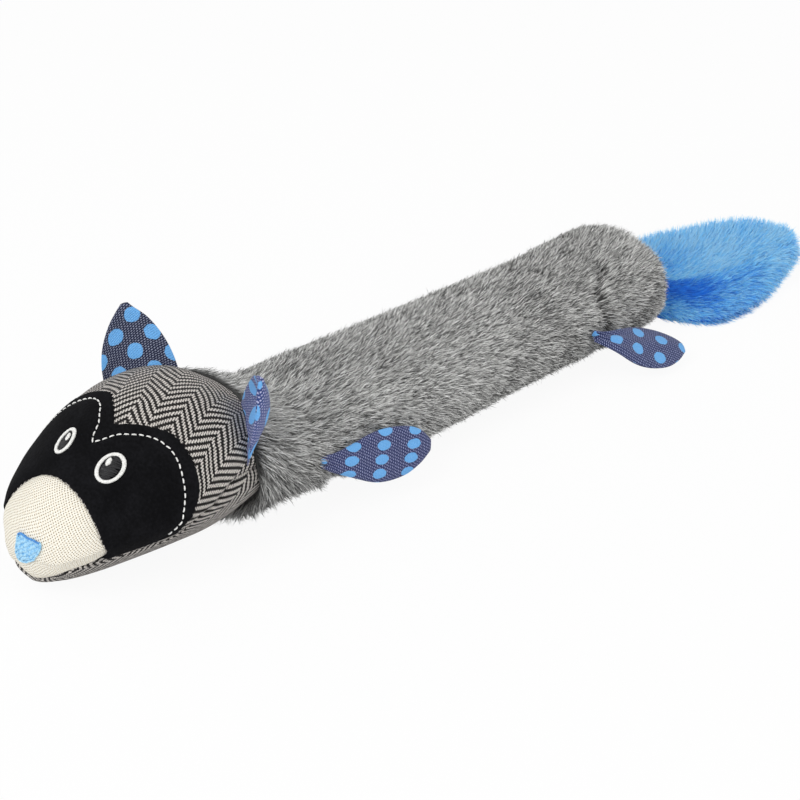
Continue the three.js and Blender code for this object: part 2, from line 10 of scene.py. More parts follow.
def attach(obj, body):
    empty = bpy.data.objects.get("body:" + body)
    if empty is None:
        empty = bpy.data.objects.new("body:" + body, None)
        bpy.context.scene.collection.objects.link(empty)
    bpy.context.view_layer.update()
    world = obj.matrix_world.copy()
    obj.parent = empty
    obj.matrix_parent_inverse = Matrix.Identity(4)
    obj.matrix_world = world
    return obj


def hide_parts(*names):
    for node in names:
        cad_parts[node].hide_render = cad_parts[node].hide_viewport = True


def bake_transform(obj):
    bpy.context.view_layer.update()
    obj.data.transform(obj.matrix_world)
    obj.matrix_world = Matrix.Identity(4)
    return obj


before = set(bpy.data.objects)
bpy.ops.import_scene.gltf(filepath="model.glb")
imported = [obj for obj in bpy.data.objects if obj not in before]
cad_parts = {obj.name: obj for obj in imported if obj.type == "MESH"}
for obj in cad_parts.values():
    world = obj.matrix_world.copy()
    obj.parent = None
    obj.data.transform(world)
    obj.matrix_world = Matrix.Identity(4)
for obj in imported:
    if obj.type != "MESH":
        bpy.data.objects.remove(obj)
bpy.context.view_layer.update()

# Sizes shared by several pieces. A section with a squareness of 2 is an ellipse. The head's places crowd toward its
# snout, it leans back toward its rear edge, and its far side is slimmer, with a fuller underside.
toy = {
    "headLength": 94, "headWidth": 82.4, "headHeight": 70.5, "headSpacing": 1.7, "headSquareness": (1.87, 1.36),
    "bodyLength": 253, "bodyWidth": 74, "bodyHeight": 46, "bodySquareness": 2.2,
    "tailLength": 98, "tailRise": 30, "rearSideStep": -12.8, "tailSideStep": 26,
    "faceRoll": 18.5, "faceYaw": (0.116, 0.07, 0.3), "neckLean": 7, "leanFrom": 0.6, "leanLevel": 0.3,
    "flatCut": 0.5, "farSide": 0.965, "farLow": 1.2, "farLowPlaces": (0.5, 0.2),
    "shift": (9.6, -2.733, 0), "lowest": 0.02,
}
snoutY = -(toy["headLength"] + toy["bodyLength"] + toy["tailLength"]) / 2
neckY = snoutY + toy["headLength"]
bodyRearY = neckY + toy["bodyLength"]

# Head sections from the snout's tip to its back edge: place, then shares of half its width and of its height
headSections = [
    (0, 0, 0.312, 0.312, 0.312), (0.15, 0.391, 0.516, 0.292, 0.106), (0.3, 0.605, 0.68, 0.34, 0.043),
    (0.45, 0.765, 0.808, 0.391, 0.014), (0.6, 0.9, 0.932, 0.434, 0.003), (0.75, 0.995, 1, 0.465, 0),
    (0.88, 1, 0.972, 0.472, 0.006), (1, 0.874, 0.78, 0.454, 0.07)]
# Body sections from the neck to the rear opening
bodySections = [
    (0, 0.84, 0.93, 0.52, 0.065), (0.06, 0.945, 1.01, 0.52, 0.045), (0.15, 1, 1, 0.5, 0),
    (0.42, 0.985, 0.96, 0.48, 0), (0.52, 0.98, 0.95, 0.48, 0.035), (0.68, 0.97, 0.935, 0.47, 0.035),
    (0.8, 0.96, 0.93, 0.46, 0), (0.93, 0.945, 0.99, 0.48, 0), (0.985, 0.865, 1.045, 0.46, 0.02),
    (1, 0.76, 0.98, 0.46, 0.065)]
# Outlines on the face: degrees round from its middle, then the place along the head
snoutEdge = [
    (0, 0.342), (13, 0.337), (28, 0.325), (41, 0.313), (58, 0.302), (70, 0.304), (80, 0.31), (90, 0.3), (97, 0.235),
    (103, 0.2), (110, 0.17), (118, 0.154), (126, 0.144), (134, 0.136), (144, 0.128), (156, 0.12), (168, 0.116),
    (180, 0.115)]
maskEdge = [
    (0, 0.6), (7, 0.636), (15, 0.67), (22, 0.695), (30, 0.702), (39, 0.7), (48, 0.692), (57, 0.677), (65, 0.652),
    (76, 0.619), (92, 0.588)]
stitchLine = [
    (0, 0.514), (3, 0.533), (7, 0.575), (12, 0.605), (16, 0.627), (21, 0.646), (27, 0.658), (33, 0.66), (40, 0.654),
    (48, 0.641), (55, 0.629), (63, 0.61), (70, 0.596), (80, 0.572), (86, 0.545), (90, 0.515)]
chinSeam = [
    (0, 96), (0.34, 97), (0.52, 100), (0.58, 99), (0.62, 91), (0.66, 79), (0.72, 69), (0.77, 62), (0.82, 58.5),
    (0.89, 57), (1, 57)]


# Reads a table at many places as smooth curves through its points
def curveAt(rows, place):
    table = np.array(rows, float)
    place = np.asarray(place, float)
    starts, last = table[:, 0], len(table) - 1
    before, after = np.maximum(np.arange(last + 1) - 1, 0), np.minimum(np.arange(last + 1) + 1, last)
    slopes = (table[after, 1:] - table[before, 1:]) / (starts[after] - starts[before])[:, None]
    row = np.clip(np.searchsorted(starts, place, side="left") - 1, 0, last - 1)
    span = (starts[row + 1] - starts[row])[..., None]
    k = np.clip((place - starts[row])[..., None] / span, 0, 1)
    return (
        table[row, 1:] * (1 + 2 * k) * (1 - k) ** 2 + slopes[row] * span * k * (1 - k) ** 2
        + table[row + 1, 1:] * k * k * (3 - 2 * k) + slopes[row + 1] * span * k * k * (k - 1))


def mirrored(rows, degrees):
    return curveAt(rows, np.abs(degrees))[..., 0]


def unit(vectors):
    return vectors / np.maximum(np.linalg.norm(vectors, axis=-1, keepdims=True), 1e-9)


def smoothly(low, high, value):
    k = np.clip((value - low) / (high - low), 0, 1)
    return k * k * (3 - 2 * k)


# The same between two angles in degrees, for an angle in radians
def turning(low, high, angle):
    return smoothly(math.radians(low), math.radians(high), angle)


def bell(value, middle, width):
    return np.exp(-((value - middle) / width) ** 2)


# A quarter round as a value goes from 0 to 1, flatter and steeper for a higher power
def rounded(value, power):
    return np.sqrt(np.clip(1 - value ** power, 0, 1))


# Even steps down a grid's rows from 0 to 1, and along its columns once round
def shares(rows):
    return np.linspace(0, 1, rows)[:, None]


def turns(columns):
    return np.linspace(0, 2 * math.pi, columns)[None]


# A smooth wander without a preferred direction, about a reach either way, for points in millimetres
def wander(points, reach, size, seed):
    draw, waves = np.random.default_rng(seed), 7
    total = np.zeros(points.shape[:-1])
    for _ in range(waves):
        direction = draw.normal(size=3)
        direction /= np.linalg.norm(direction)
        wave = draw.uniform(0.7, 1.5) * 2 * math.pi / size
        total += np.sin(points @ direction * wave + draw.uniform(0, 2 * math.pi))
    return reach * (total / (waves / 2))


# A value that wanders over a skin in patches, each with its reach, size and seed
def patchy(value, points, patches):
    for patch in patches:
        value = value + wander(points, *patch)
    return value


def sectionPoint(halfWidth, top, middle, bottom, squareness, angle):
    power = 2 / squareness
    across = np.sign(np.sin(angle)) * np.abs(np.sin(angle)) ** power
    rise = np.sign(np.cos(angle)) * np.abs(np.cos(angle)) ** power
    height = middle + rise * np.where(rise > 0, top - middle, middle - bottom)
    return halfWidth * across, height


def lengthAt(along):
    return toy["headLength"] * along ** toy["headSpacing"]


def headSurface(along, angle):
    along, angle = np.broadcast_arrays(np.asarray(along, float), np.asarray(angle, float))
    width, top, middle, bottom = np.moveaxis(curveAt(headSections, along), -1, 0)
    far, (squareTop, squareLow) = np.sin(angle) < 0, toy["headSquareness"]
    fuller = toy["farLow"] * smoothly(*toy["farLowPlaces"], along) * far
    squareness = np.where(np.cos(angle) > 0, squareTop, squareLow + fuller)
    height, side = toy["headHeight"], np.where(far, toy["farSide"], 1)
    x, z = sectionPoint(
        width * toy["headWidth"] / 2 * side, top * height, middle * height, bottom * height - toy["flatCut"],
        squareness, angle)
    leaning = np.maximum(0, (along - toy["leanFrom"]) / (1 - toy["leanFrom"])) ** 2
    y = snoutY + lengthAt(along) + toy["neckLean"] * leaning * (np.cos(angle) - toy["leanLevel"])
    return np.stack([x, y, np.maximum(z, 0)], -1)


def headNormal(along, angle):
    step = 1e-3
    along = np.clip(along, step, 1)
    roundWay = headSurface(along, angle + step) - headSurface(along, angle - step)
    back = headSurface(np.minimum(along + step, 1), angle) - headSurface(along - step, angle)
    return unit(np.cross(roundWay, back))


def headPoint(along, angle, lift=0.0):
    along, angle, lift = np.broadcast_arrays(
        np.asarray(along, float), np.asarray(angle, float), np.asarray(lift, float))
    place = np.clip(along, 1e-3, 1)
    return headSurface(place, angle) + headNormal(place, angle) * lift[..., None]


# The face's own places and degrees, turned as the photograph has them
def faceChart(along, degrees):
    along, degrees = np.broadcast_arrays(np.asarray(along, float), np.asarray(degrees, float))
    most, less, fullFrom = toy["faceYaw"]
    turned = along + (most - less * along) * np.minimum(1, along / fullFrom) * np.sin(np.radians(degrees))
    return np.minimum(turned, 1), np.radians(degrees + toy["faceRoll"])


def facePoint(along, degrees, lift=0.0):
    return headPoint(*faceChart(along, degrees), lift)


def faceNormal(along, degrees):
    return headNormal(*faceChart(along, degrees))


def sideStep(y):
    return toy["rearSideStep"] * np.clip((y - neckY) / toy["bodyLength"], 0, 1)


def bodyPoint(y, angle, inset=0.0):
    y, angle = np.broadcast_arrays(np.asarray(y, float), np.asarray(angle, float))
    width, top, middle, bottom = np.moveaxis(curveAt(bodySections, (y - neckY) / toy["bodyLength"]), -1, 0)
    height = toy["bodyHeight"]
    lowest = np.maximum(bottom * height - toy["flatCut"], 0)
    x, z = sectionPoint(
        width * toy["bodyWidth"] / 2 - inset, top * height - inset, middle * height, lowest + inset,
        toy["bodySquareness"], angle)
    return np.stack([x + sideStep(y), y, z], -1)


def toScene(points):
    return (np.asarray(points, float) + np.array(toy["shift"])) / 1000


print("shapes ready")


def linked(name, data):
    made = bpy.data.objects.new(name, data)
    bpy.context.scene.collection.objects.link(made)
    return made


# A mesh from points in millimetres, faces, a map in millimetres per face corner and named values per point
def makePiece(name, points, faces, cloth=None, values=None):
    mesh = bpy.data.meshes.new(name)
    points = np.concatenate([points[:, :2], np.maximum(points[:, 2:], toy["lowest"])], 1)
    mesh.from_pydata(toScene(points).tolist(), [], faces)
    if cloth is not None:
        layer = mesh.uv_layers.new(name="cloth")
        layer.data.foreach_set("uv", np.concatenate([cloth[n] for n in range(len(faces))]).astype(np.float32).ravel())
    for label, array in (values or {}).items():
        kind = "FLOAT_VECTOR" if array.ndim == 2 else "FLOAT"
        attribute = mesh.attributes.new(label, kind, "POINT")
        attribute.data.foreach_set("vector" if array.ndim == 2 else "value", array.astype(np.float32).ravel())
    mesh.polygons.foreach_set("use_smooth", [True] * len(mesh.polygons))
    mesh.update()
    return linked(name, mesh)


# Merges doubled points and turns the faces of a closed mesh outwards
def closeUp(piece):
    work = bmesh.new()
    work.from_mesh(piece.data)
    bmesh.ops.remove_doubles(work, verts=work.verts, dist=2e-6)
    bmesh.ops.dissolve_degenerate(work, edges=work.edges, dist=1e-7)
    if work.calc_volume(signed=True) < 0:
        bmesh.ops.reverse_faces(work, faces=work.faces)
    work.to_mesh(piece.data)
    work.free()
    return piece


# A cloth shell between an outer and an inner grid of points. A round grid's last column is its first.
def clothShell(name, outer, inner, cloth=None, roundWay=False, values=None):
    rows, columns = outer.shape[:2]
    points = np.concatenate([outer.reshape(-1, 3), inner.reshape(-1, 3)])
    flat = np.zeros((rows, columns, 2)) if cloth is None else cloth
    faces, corners = [], []

    def at(row, column, layer):
        return layer * rows * columns + row * columns + (column % (columns - 1) if roundWay else column)

    def addFace(cells):
        faces.append([at(*cell) for cell in cells])
        corners.append(np.array([flat[row, column] for row, column, _ in cells]))

    for row in range(rows - 1):
        for column in range(columns - 1):
            square = [(row, column), (row, column + 1), (row + 1, column + 1), (row + 1, column)]
            addFace([(r, c, 0) for r, c in square])
            addFace([(r, c, 1) for r, c in reversed(square)])
    for row, turned in ((0, True), (rows - 1, False)):
        for column in range(columns - 1):
            square = [(row, column, 0), (row, column + 1, 0), (row, column + 1, 1), (row, column, 1)]
            addFace(square[::-1] if turned else square)
    if not roundWay:
        for column, turned in ((0, False), (columns - 1, True)):
            for row in range(rows - 1):
                square = [(row, column, 0), (row + 1, column, 0), (row + 1, column, 1), (row, column, 1)]
                addFace(square[::-1] if turned else square)
    both = {label: np.concatenate([array, array]) for label, array in (values or {}).items()}
    if "pile" in both:
        both["pile"][rows * columns:] = 0
    return closeUp(makePiece(name, points, faces, corners, both))


# Arc lengths over a grid, round each row from one column and along each column from one row
def arcLengths(points, fromColumn, fromRow):
    roundWay = np.linalg.norm(np.diff(points, axis=1), axis=-1)
    across = np.concatenate([np.zeros((len(points), 1)), np.cumsum(roundWay, 1)], 1)
    across -= across[:, fromColumn:fromColumn + 1]
    lengthWay = np.linalg.norm(np.diff(points, axis=0), axis=-1)
    along = np.concatenate([np.zeros((1, points.shape[1])), np.cumsum(lengthWay, 0)], 0)
    along -= along[fromRow:fromRow + 1]
    return np.stack([across, along], -1)


# One output of a node, so that a tree's maths reads as an expression
class Reading:
    def __init__(self, maker, socket):
        self.maker, self.socket = maker, socket

    def maths(self, operation, *others):
        return self.maker.node("ShaderNodeMath", {"operation": operation}, dict(enumerate([self, *others]))).out()

    def __add__(self, other): return self.maths("ADD", other)
    def __radd__(self, other): return self.maths("ADD", other)
    def __sub__(self, other): return self.maths("SUBTRACT", other)
    def __rsub__(self, other): return (self * -1).maths("ADD", other)
    def __mul__(self, other): return self.maths("MULTIPLY", other)
    def __rmul__(self, other): return self.maths("MULTIPLY", other)
    def __truediv__(self, other): return self.maths("DIVIDE", other)
    def __rtruediv__(self, other): return self.maths("POWER", -1.0) * other
    def __mod__(self, other): return self.maths("FLOORED_MODULO", other)
    def __abs__(self): return self.maths("ABSOLUTE")

    # How near a value is to the middle of its whole step, from 0 at the step's ends to 1
    def ridge(self):
        return 1 - self.valley()

    def valley(self):
        return abs(self % 1 - 0.5) * 2

    def within(self, low, high):
        return self.maths("MINIMUM", high).maths("MAXIMUM", low)

    # From 0 to 1 between two values, with soft ends
    def ramp(self, low, high):
        settings = {"interpolation_type": "SMOOTHSTEP"}
        return self.maker.node("ShaderNodeMapRange", settings, {"Value": self, "From Min": low, "From Max": high}).out()


class Node:
    def __init__(self, maker, node):
        self.maker, self.node = maker, node

    def out(self, outlet=0):
        return Reading(self.maker, self.node.outputs[outlet])


class Maker:
    def __init__(self, tree):
        self.tree = tree

    # Settings go first. Colours may be given as codes.
    def node(self, kind, settings=None, inputs=None):
        made = self.tree.nodes.new(kind)
        for label, value in (settings or {}).items():
            if label == "stops":
                while len(made.color_ramp.elements) < len(value):
                    made.color_ramp.elements.new(0.5)
                for element, (place, colour) in zip(made.color_ramp.elements, value):
                    element.position, element.color = place, linear(colour)
            else:
                setattr(made, label, value)
        for label, value in (inputs or {}).items():
            socket = made.inputs[label]
            if isinstance(value, Reading):
                self.tree.links.new(value.socket, socket)
            else:
                socket.default_value = linear(value) if str(value).startswith("#") else value
        return Node(self, made)

    def mix(self, first, second, factor):
        return self.node("ShaderNodeMix", {"data_type": "RGBA"}, {0: factor, 6: first, 7: second}).out(2)


def linear(code):
    channels = [int(code[n:n + 2], 16) / 255 for n in (1, 3, 5)]
    return (*[c / 12.92 if c <= 0.04045 else ((c + 0.055) / 1.055) ** 2.4 for c in channels], 1)


# A cloth's finish, with its shader, its coordinates and its noises
class Finish(Maker):
    def __init__(self, name, constants):
        self.material = bpy.data.materials.new(name)
        self.material.use_nodes = True
        super().__init__(self.material.node_tree)
        self.shader = self.tree.nodes["Principled BSDF"]
        for label, value in constants.items():
            self.shader.inputs[label].default_value = value
        self.coordinates = self.node("ShaderNodeTexCoord").out("Object")

    def noise(self, scale, detail=2.0, vector=None, roughness=0.5):
        return self.node("ShaderNodeTexNoise", {}, {
            "Vector": vector or self.coordinates, "Scale": scale, "Detail": detail, "Roughness": roughness}).out()

    # The piece's own map in millimetres, squeezed, turned and shifted on it
    def clothMap(self, turn=0.0, shift=(0, 0), squeeze=1.0):
        flat = self.node("ShaderNodeUVMap", {"uv_map": "cloth"}).out()
        turned = self.node("ShaderNodeMapping", {}, {
            "Vector": flat, "Rotation": (0, 0, math.radians(turn)), "Location": (*shift, 0),
            "Scale": (squeeze, 1, 1)}).out()
        parts = self.node("ShaderNodeSeparateXYZ", {}, {"Vector": turned})
        return turned, parts.out(0), parts.out(1)

    # A mix of two colours by a value that ramps between two levels
    def mottled(self, colours, value, low, high):
        return self.mix(*colours, value.ramp(low, high))

    def finish(self, colour, roughness=None, height=None, depth=0.0002):
        self.tree.links.new(colour.socket, self.shader.inputs["Base Color"])
        if roughness is not None:
            self.tree.links.new(roughness.socket, self.shader.inputs["Roughness"])
        if height is not None:
            bump = self.node("ShaderNodeBump", {}, {"Height": height, "Distance": depth, "Strength": 1.0})
            self.tree.links.new(bump.out().socket, self.shader.inputs["Normal"])
        return self.material


clothConstants = {"Roughness": 0.9, "Specular IOR Level": 0.25, "Sheen Weight": 0.12, "Sheen Roughness": 0.5}


# Herringbone twill: of every four places along, two show the light yarn. They shift a place from one yarn to the
# next, and the shift turns back at each band's edge.
def tweedFinish(name, turn, shift):
    tweed = {"cell": 0.86, "bandCells": 10, "repeat": 4, "lastLight": 1.5, "drift": (0.11, 2.4), "fray": 2.0,
             "flecks": 3.1, "light": ("#9a928b", "#ebe5df"), "dark": ("#0f0d0d", "#37322f")}
    made = Finish(name, clothConstants)
    vector, across, along = made.clothMap(turn, shift)
    driftScale, driftReach = tweed["drift"]
    drift = made.noise(driftScale, 1.0, vector) * driftReach
    fray = made.noise(tweed["fray"], 2.0, vector) - 0.5
    u, v = (across + drift) / tweed["cell"] + fray, (along + drift * 0.6) / tweed["cell"] + fray * 0.8
    column, row = u.maths("FLOOR"), v.maths("FLOOR")
    band = column / tweed["bandCells"]
    zigzag = abs(band % 2 - 1) * tweed["bandCells"]
    reversal = band.maths("FLOOR") % 2 * 2
    step = (row + zigzag + reversal + 0.02).maths("FLOOR") % tweed["repeat"]
    light = 1 - step.ramp(tweed["lastLight"] - 0.1, tweed["lastLight"] + 0.1)
    hump, dip = u.ridge(), v.ridge()
    flecks = made.noise(tweed["flecks"], 3.0, vector)
    # Each yarn is painted lighter along its middle and darker toward its sides: painted highlight and shade on its
    # roundness
    lightYarn = made.mottled(tweed["light"], flecks * 0.7 + hump * 0.5, 0.3, 0.8)
    darkYarn = made.mottled(tweed["dark"], flecks * 0.8 + dip * 0.3, 0.5, 0.95)
    colour = made.mix(darkYarn, lightYarn, light * (hump * 0.7 + flecks * 0.7 + 0.15).maths("MINIMUM", 1.0))
    height = light * (0.6 + hump * 0.5) + (1 - light) * dip * 0.35 + flecks * 0.2
    return made.finish(colour, None, height, 0.0004)


# Basket weave canvas, with the small holes between the yarns painted dark as shade
def canvasFinish():
    canvas = {"pitch": 1.05, "turn": 38, "drift": (0.3, 0.5), "slub": 1.1, "yarn": ("#f5ecd9", "#fffcf1"),
              "hole": "#ab9671", "holeShare": (0.36, 0.76)}
    made = Finish("creamCanvas", clothConstants)
    vector, across, along = made.clothMap(canvas["turn"])
    driftScale, driftReach = canvas["drift"]
    drift = made.noise(driftScale, 1.0, vector) * driftReach
    u, v = (across + drift) / canvas["pitch"], (along + drift) / canvas["pitch"]
    overU, overV = u.valley(), v.valley()
    hole = (overU * overV).ramp(*canvas["holeShare"])
    checker = abs((u + v) % 2 - 1)
    slub = made.noise(canvas["slub"], 3.0, vector)
    yarn = made.mottled(canvas["yarn"], slub + checker * 0.3, 0.35, 0.9)
    # The holes are painted dark as shade
    colour = made.mix(yarn, canvas["hole"], hole * 0.9)
    height = 1 - hole * 0.8 - overU * 0.2 - overV * 0.2 + slub * 0.3 + checker * 0.15
    return made.finish(colour, None, height, 0.0004)


# Black suede with a fine nap and a little pale lint
def suedeFinish():
    suede = {"nap": 900, "patches": 90, "lint": 420, "black": ("#08080a", "#17171a"), "pale": "#2b2b2e"}
    made = Finish("blackSuede", {"Roughness": 0.95, "Specular IOR Level": 0.1})
    nap, patches = made.noise(suede["nap"], 3.0), made.noise(suede["patches"], 2.0)
    colour = made.mottled(suede["black"], nap * 0.5 + patches * 0.5, 0.35, 0.75)
    lint = made.noise(suede["lint"], 4.0, roughness=0.7).ramp(0.71, 0.78)
    return made.finish(made.mix(colour, suede["pale"], lint * 0.6), None, nap + patches, 0.0003)


def threadFinish(name, base, shadow, roughness, ply=2600):
    made = Finish(name, {"Roughness": roughness, "Specular IOR Level": 0.45, "Sheen Weight": 0.05})
    strands = made.noise(ply, 2.0)
    return made.finish(made.mottled((shadow, base), strands, 0.3, 0.6), None, strands, 0.00012)


# Navy chambray with short pale threads and printed polka dots
def denimFinish(name, look):
    denim = {"pitch": 0.82, "dash": 1.3, "edge": 0.14, "stagger": 0.37, "drift": (0.25, 0.8), "flecks": 1.9,
             "wobble": (0.5, 0.8), "ink": ("#6cb1f0", "#86c2f8")}
    made = Finish(name, clothConstants)
    vector, across, along = made.clothMap(look["turn"])
    driftScale, driftReach = denim["drift"]
    drift = made.noise(driftScale, 1.0, vector) * driftReach
    v = (along + drift) / denim["pitch"]
    u = across / denim["dash"] + v.maths("FLOOR") * denim["stagger"]
    ridge, dash = v.ridge(), u.ridge()
    flecks = made.noise(denim["flecks"], 3.0, vector)
    pale = ridge.ramp(0.3, 0.8) * dash.ramp(0.15, 0.6) * (flecks * 2.6 - 0.5)
    cloth = made.mix(look["dark"], look["pale"], pale.within(0.0, 1.0))
    shifted, dotU, dotV = made.clothMap(look["dotTurn"], dotShift(look), look["squeeze"])
    wobbleScale, wobbleReach = denim["wobble"]
    wobble = made.noise(wobbleScale, 1.0, shifted) * wobbleReach - wobbleReach / 2
    u, v = (abs((place / pitch) % 1 - 0.5) * pitch for place, pitch in zip((dotU, dotV), look["dotPitch"]))
    distance = (u * u + v * v).maths("SQRT") + wobble
    dot = 1 - distance.ramp(look["dotRadius"] - denim["edge"], look["dotRadius"] + denim["edge"])
    ink = made.mottled(denim["ink"], flecks * 0.7 + pale * 0.2, 0.3, 0.7)
    return made.finish(made.mix(cloth, ink, dot), None, ridge * 0.5 + dash * 0.4 + dot * 0.4, 0.0003)


# The shift that puts a dot's middle on a look's chosen place
def dotShift(look):
    turn, place = math.radians(look["dotTurn"]), look["dotPlace"]
    x, y = place[0] * look["squeeze"], place[1]
    return (look["dotPitch"][0] / 2 - (x * math.cos(turn) - y * math.sin(turn)),
            look["dotPitch"][1] / 2 - (x * math.sin(turn) + y * math.cos(turn)))


# Pile: u of its map is the strand's shade and v runs from root to tip. Roots are painted darker as shade and tips
# lighter as a painted highlight.
def pileFinish(name, dark, middle, light, tip, rootShare):
    made = Finish(name, {"Roughness": 0.7, "Specular IOR Level": 0.3, "Sheen Weight": 0.1, "Sheen Roughness": 0.4})
    parts = made.node("ShaderNodeSeparateXYZ", {}, {
        "Vector": made.node("ShaderNodeUVMap", {"uv_map": "OFBake"}).out()})
    shade, height = parts.out(0), parts.out(1)
    stops = [(0, dark), (0.5, middle), (1, light)]
    body = made.node("ShaderNodeValToRGB", {"stops": stops}, {"Fac": shade}).out()
    root = made.mix(dark, body, height.ramp(0.0, rootShare))
    return made.finish(made.mix(root, tip, height.ramp(0.55, 1.0) * shade * 0.55))


def fibreFinish():
    made = Finish("polyesterFibre", {"Roughness": 0.95, "Sheen Weight": 0.2})
    tangle = made.noise(500, 5.0, roughness=0.65)
    return made.finish(made.mottled(("#dcdcd8", "#f6f6f3"), tangle, 0.35, 0.65), None, tangle, 0.001)


def mouldedFinish(name, low, high, roughness):
    made = Finish(name, {"Roughness": roughness, "Specular IOR Level": 0.5})
    mottle = made.noise(160, 3.0)
    return made.finish(
        made.mottled((low, high), mottle, 0.35, 0.65), mottle * 0.2 + roughness, mottle, 0.0001)


crownTweed = tweedFinish("crownTweed", -31, (1.5, 0))
chinTweed = tweedFinish("chinTweed", -39, (3, 1))
creamCanvas = canvasFinish()
blackSuede = suedeFinish()
whiteThread = threadFinish("whiteThread", "#fdfdfa", "#d6d4d0", 0.5)
blackThread = threadFinish("blackThread", "#1e1e21", "#0d0d0f", 0.42)
noseThread = threadFinish("noseThread", "#b4e2fb", "#79bdec", 0.42, 900)
noseEdgeThread = threadFinish("noseEdgeThread", "#4f97dc", "#3679c4", 0.42)
greyPile = pileFinish("greyPile", "#3a3a39", "#a8a8a6", "#eeeeec", "#f6f6f4", 0.55)
bluePile = pileFinish("bluePile", "#0f78ea", "#6ecaff", "#a6e0ff", "#ccedff", 0.12)
fibre = fibreFinish()
vinyl = mouldedFinish("squeakerVinyl", "#e2e2dc", "#efefea", 0.4)
hardPlastic = mouldedFinish("squeakerPlastic", "#cfdfec", "#dcebf6", 0.28)
print("materials ready")


# A geometry tree, with its kinds of input by name
class GrowTree(Maker):
    def __init__(self, name, sockets):
        super().__init__(bpy.data.node_groups.new(name, "GeometryNodeTree"))
        face = self.tree.interface
        face.new_socket("Geometry", in_out="INPUT", socket_type="NodeSocketGeometry")
        for label, kind in sockets.items():
            face.new_socket(label, in_out="INPUT", socket_type="NodeSocket" + kind)
        face.new_socket("Geometry", in_out="OUTPUT", socket_type="NodeSocketGeometry")
        self.given = self.node("NodeGroupInput")
        self.end = self.tree.nodes.new("NodeGroupOutput")

    def attribute(self, label, kind="FLOAT"):
        return self.node("GeometryNodeInputNamedAttribute", {"data_type": kind}, {"Name": label}).out()

    def direction(self, label):
        return self.attribute(label, "FLOAT_VECTOR")

    def vectorMaths(self, operation, first, second):
        return self.node("ShaderNodeVectorMath", {"operation": operation}, {0: first, 1: second}).out()

    def scaled(self, vector, scale):
        return self.node("ShaderNodeVectorMath", {"operation": "SCALE"}, {0: vector, "Scale": scale}).out()

    def combined(self, *parts):
        return self.node("ShaderNodeCombineXYZ", {}, dict(zip("XYZ", parts))).out()

    def drawn(self, low, high, seed):
        return self.node("FunctionNodeRandomValue", {"data_type": "FLOAT"}, {2: low, 3: high, "Seed": seed}).out(1)

    def anyWay(self, seed):
        return self.node("FunctionNodeRandomValue", {"data_type": "FLOAT_VECTOR"}, {
            0: (-1, -1, -1), 1: (1, 1, 1), "Seed": seed}).out()

    def stored(self, geometry, label, value, kind, domain):
        return self.node("GeometryNodeStoreNamedAttribute", {"data_type": kind, "domain": domain}, {
            "Geometry": geometry, "Name": label, "Value": value}).out()

    # A shape at each point, with two of its axes along two directions, as real geometry
    def planted(self, points, shape, axes, lie, facing, size):
        rotation = self.node("FunctionNodeAxesToRotation", {"primary_axis": axes[0], "secondary_axis": axes[1]}, {
            "Primary Axis": lie, "Secondary Axis": facing}).out()
        instance = self.node("GeometryNodeObjectInfo", {}, {"Object": self.given.out(shape)}).out("Geometry")
        placed = self.node("GeometryNodeInstanceOnPoints", {}, {
            "Points": points, "Instance": instance, "Rotation": rotation, "Scale": size}).out()
        return self.node("GeometryNodeRealizeInstances", {}, {"Geometry": placed}).out()

    def close(self, geometry):
        painted = self.node("GeometryNodeSetMaterial", {}, {
            "Geometry": geometry, "Material": self.given.out("Finish")}).out()
        self.tree.links.new(painted.socket, self.end.inputs[0])
        return self.tree


# Pile on a skin: strands lie along the skin's comb and stand for its tone, and none reaches under the floor
def pileTree():
    spread = {"length": (0.65, 1.15), "width": (0.7, 1.25), "twist": 0.7, "tone": (0.02, 0.98), "floor": 0.00005}
    tree = GrowTree("growPile", {
        "Density": "Float", "Length": "Float", "Width": "Float", "Scatter": "Float", "Clump Size": "Float",
        "Clump": "Float", "Tone Spread": "Float", "Seed": "Int", "Strand": "Object", "Finish": "Material"})
    given = tree.given
    points = tree.node("GeometryNodeDistributePointsOnFaces", {"distribute_method": "RANDOM"}, {
        "Mesh": given.out("Geometry"), "Density": given.out("Density") * tree.attribute("pile"),
        "Seed": given.out("Seed")}).out("Points")
    position = tree.node("GeometryNodeInputPosition").out()
    waves = tree.node("ShaderNodeTexNoise", {}, {
        "Vector": position, "Scale": 1 / given.out("Clump Size"), "Detail": 1.0}).out("Color")
    sway = tree.scaled(tree.vectorMaths("SUBTRACT", waves, (0.5, 0.5, 0.5)), given.out("Clump") * 2)
    stray = tree.scaled(tree.anyWay(3), given.out("Scatter"))
    lie = tree.vectorMaths("ADD", tree.vectorMaths("ADD", tree.direction("comb"), sway), stray)
    twist = tree.scaled(tree.anyWay(5), spread["twist"])
    facing = tree.vectorMaths("ADD", tree.scaled(tree.direction("out"), -1.0), twist)
    length = given.out("Length") * tree.attribute("lengthen") * tree.drawn(*spread["length"], 7)
    width = given.out("Width") * tree.drawn(*spread["width"], 9)
    tone = tree.attribute("tone") + tree.drawn(-1.0, 1.0, 11) * given.out("Tone Spread")
    toned = tree.stored(points, "shade", tone.within(*spread["tone"]), "FLOAT", "POINT")
    strands = tree.planted(toned, "Strand", "ZX", lie, facing, tree.combined(length, width, length))
    join = tree.tree.nodes.new("GeometryNodeJoinGeometry")
    for part in (strands, given.out("Geometry")):
        tree.tree.links.new(part.socket, join.inputs[0])
    parts = tree.node("ShaderNodeSeparateXYZ", {}, {"Vector": position})
    grounded = tree.combined(parts.out(0), parts.out(1), parts.out(2).maths("MAXIMUM", spread["floor"]))
    laid = tree.node("GeometryNodeSetPosition", {}, {
        "Geometry": Reading(tree, join.outputs[0]), "Position": grounded}).out()
    # The bare skin has neither value, so it takes the darkest root colour: painted shade between the strands
    flatMap = tree.combined(tree.attribute("shade"), tree.attribute("height"))
    return tree.close(tree.stored(laid, "OFBake", flatMap, "FLOAT2", "CORNER"))


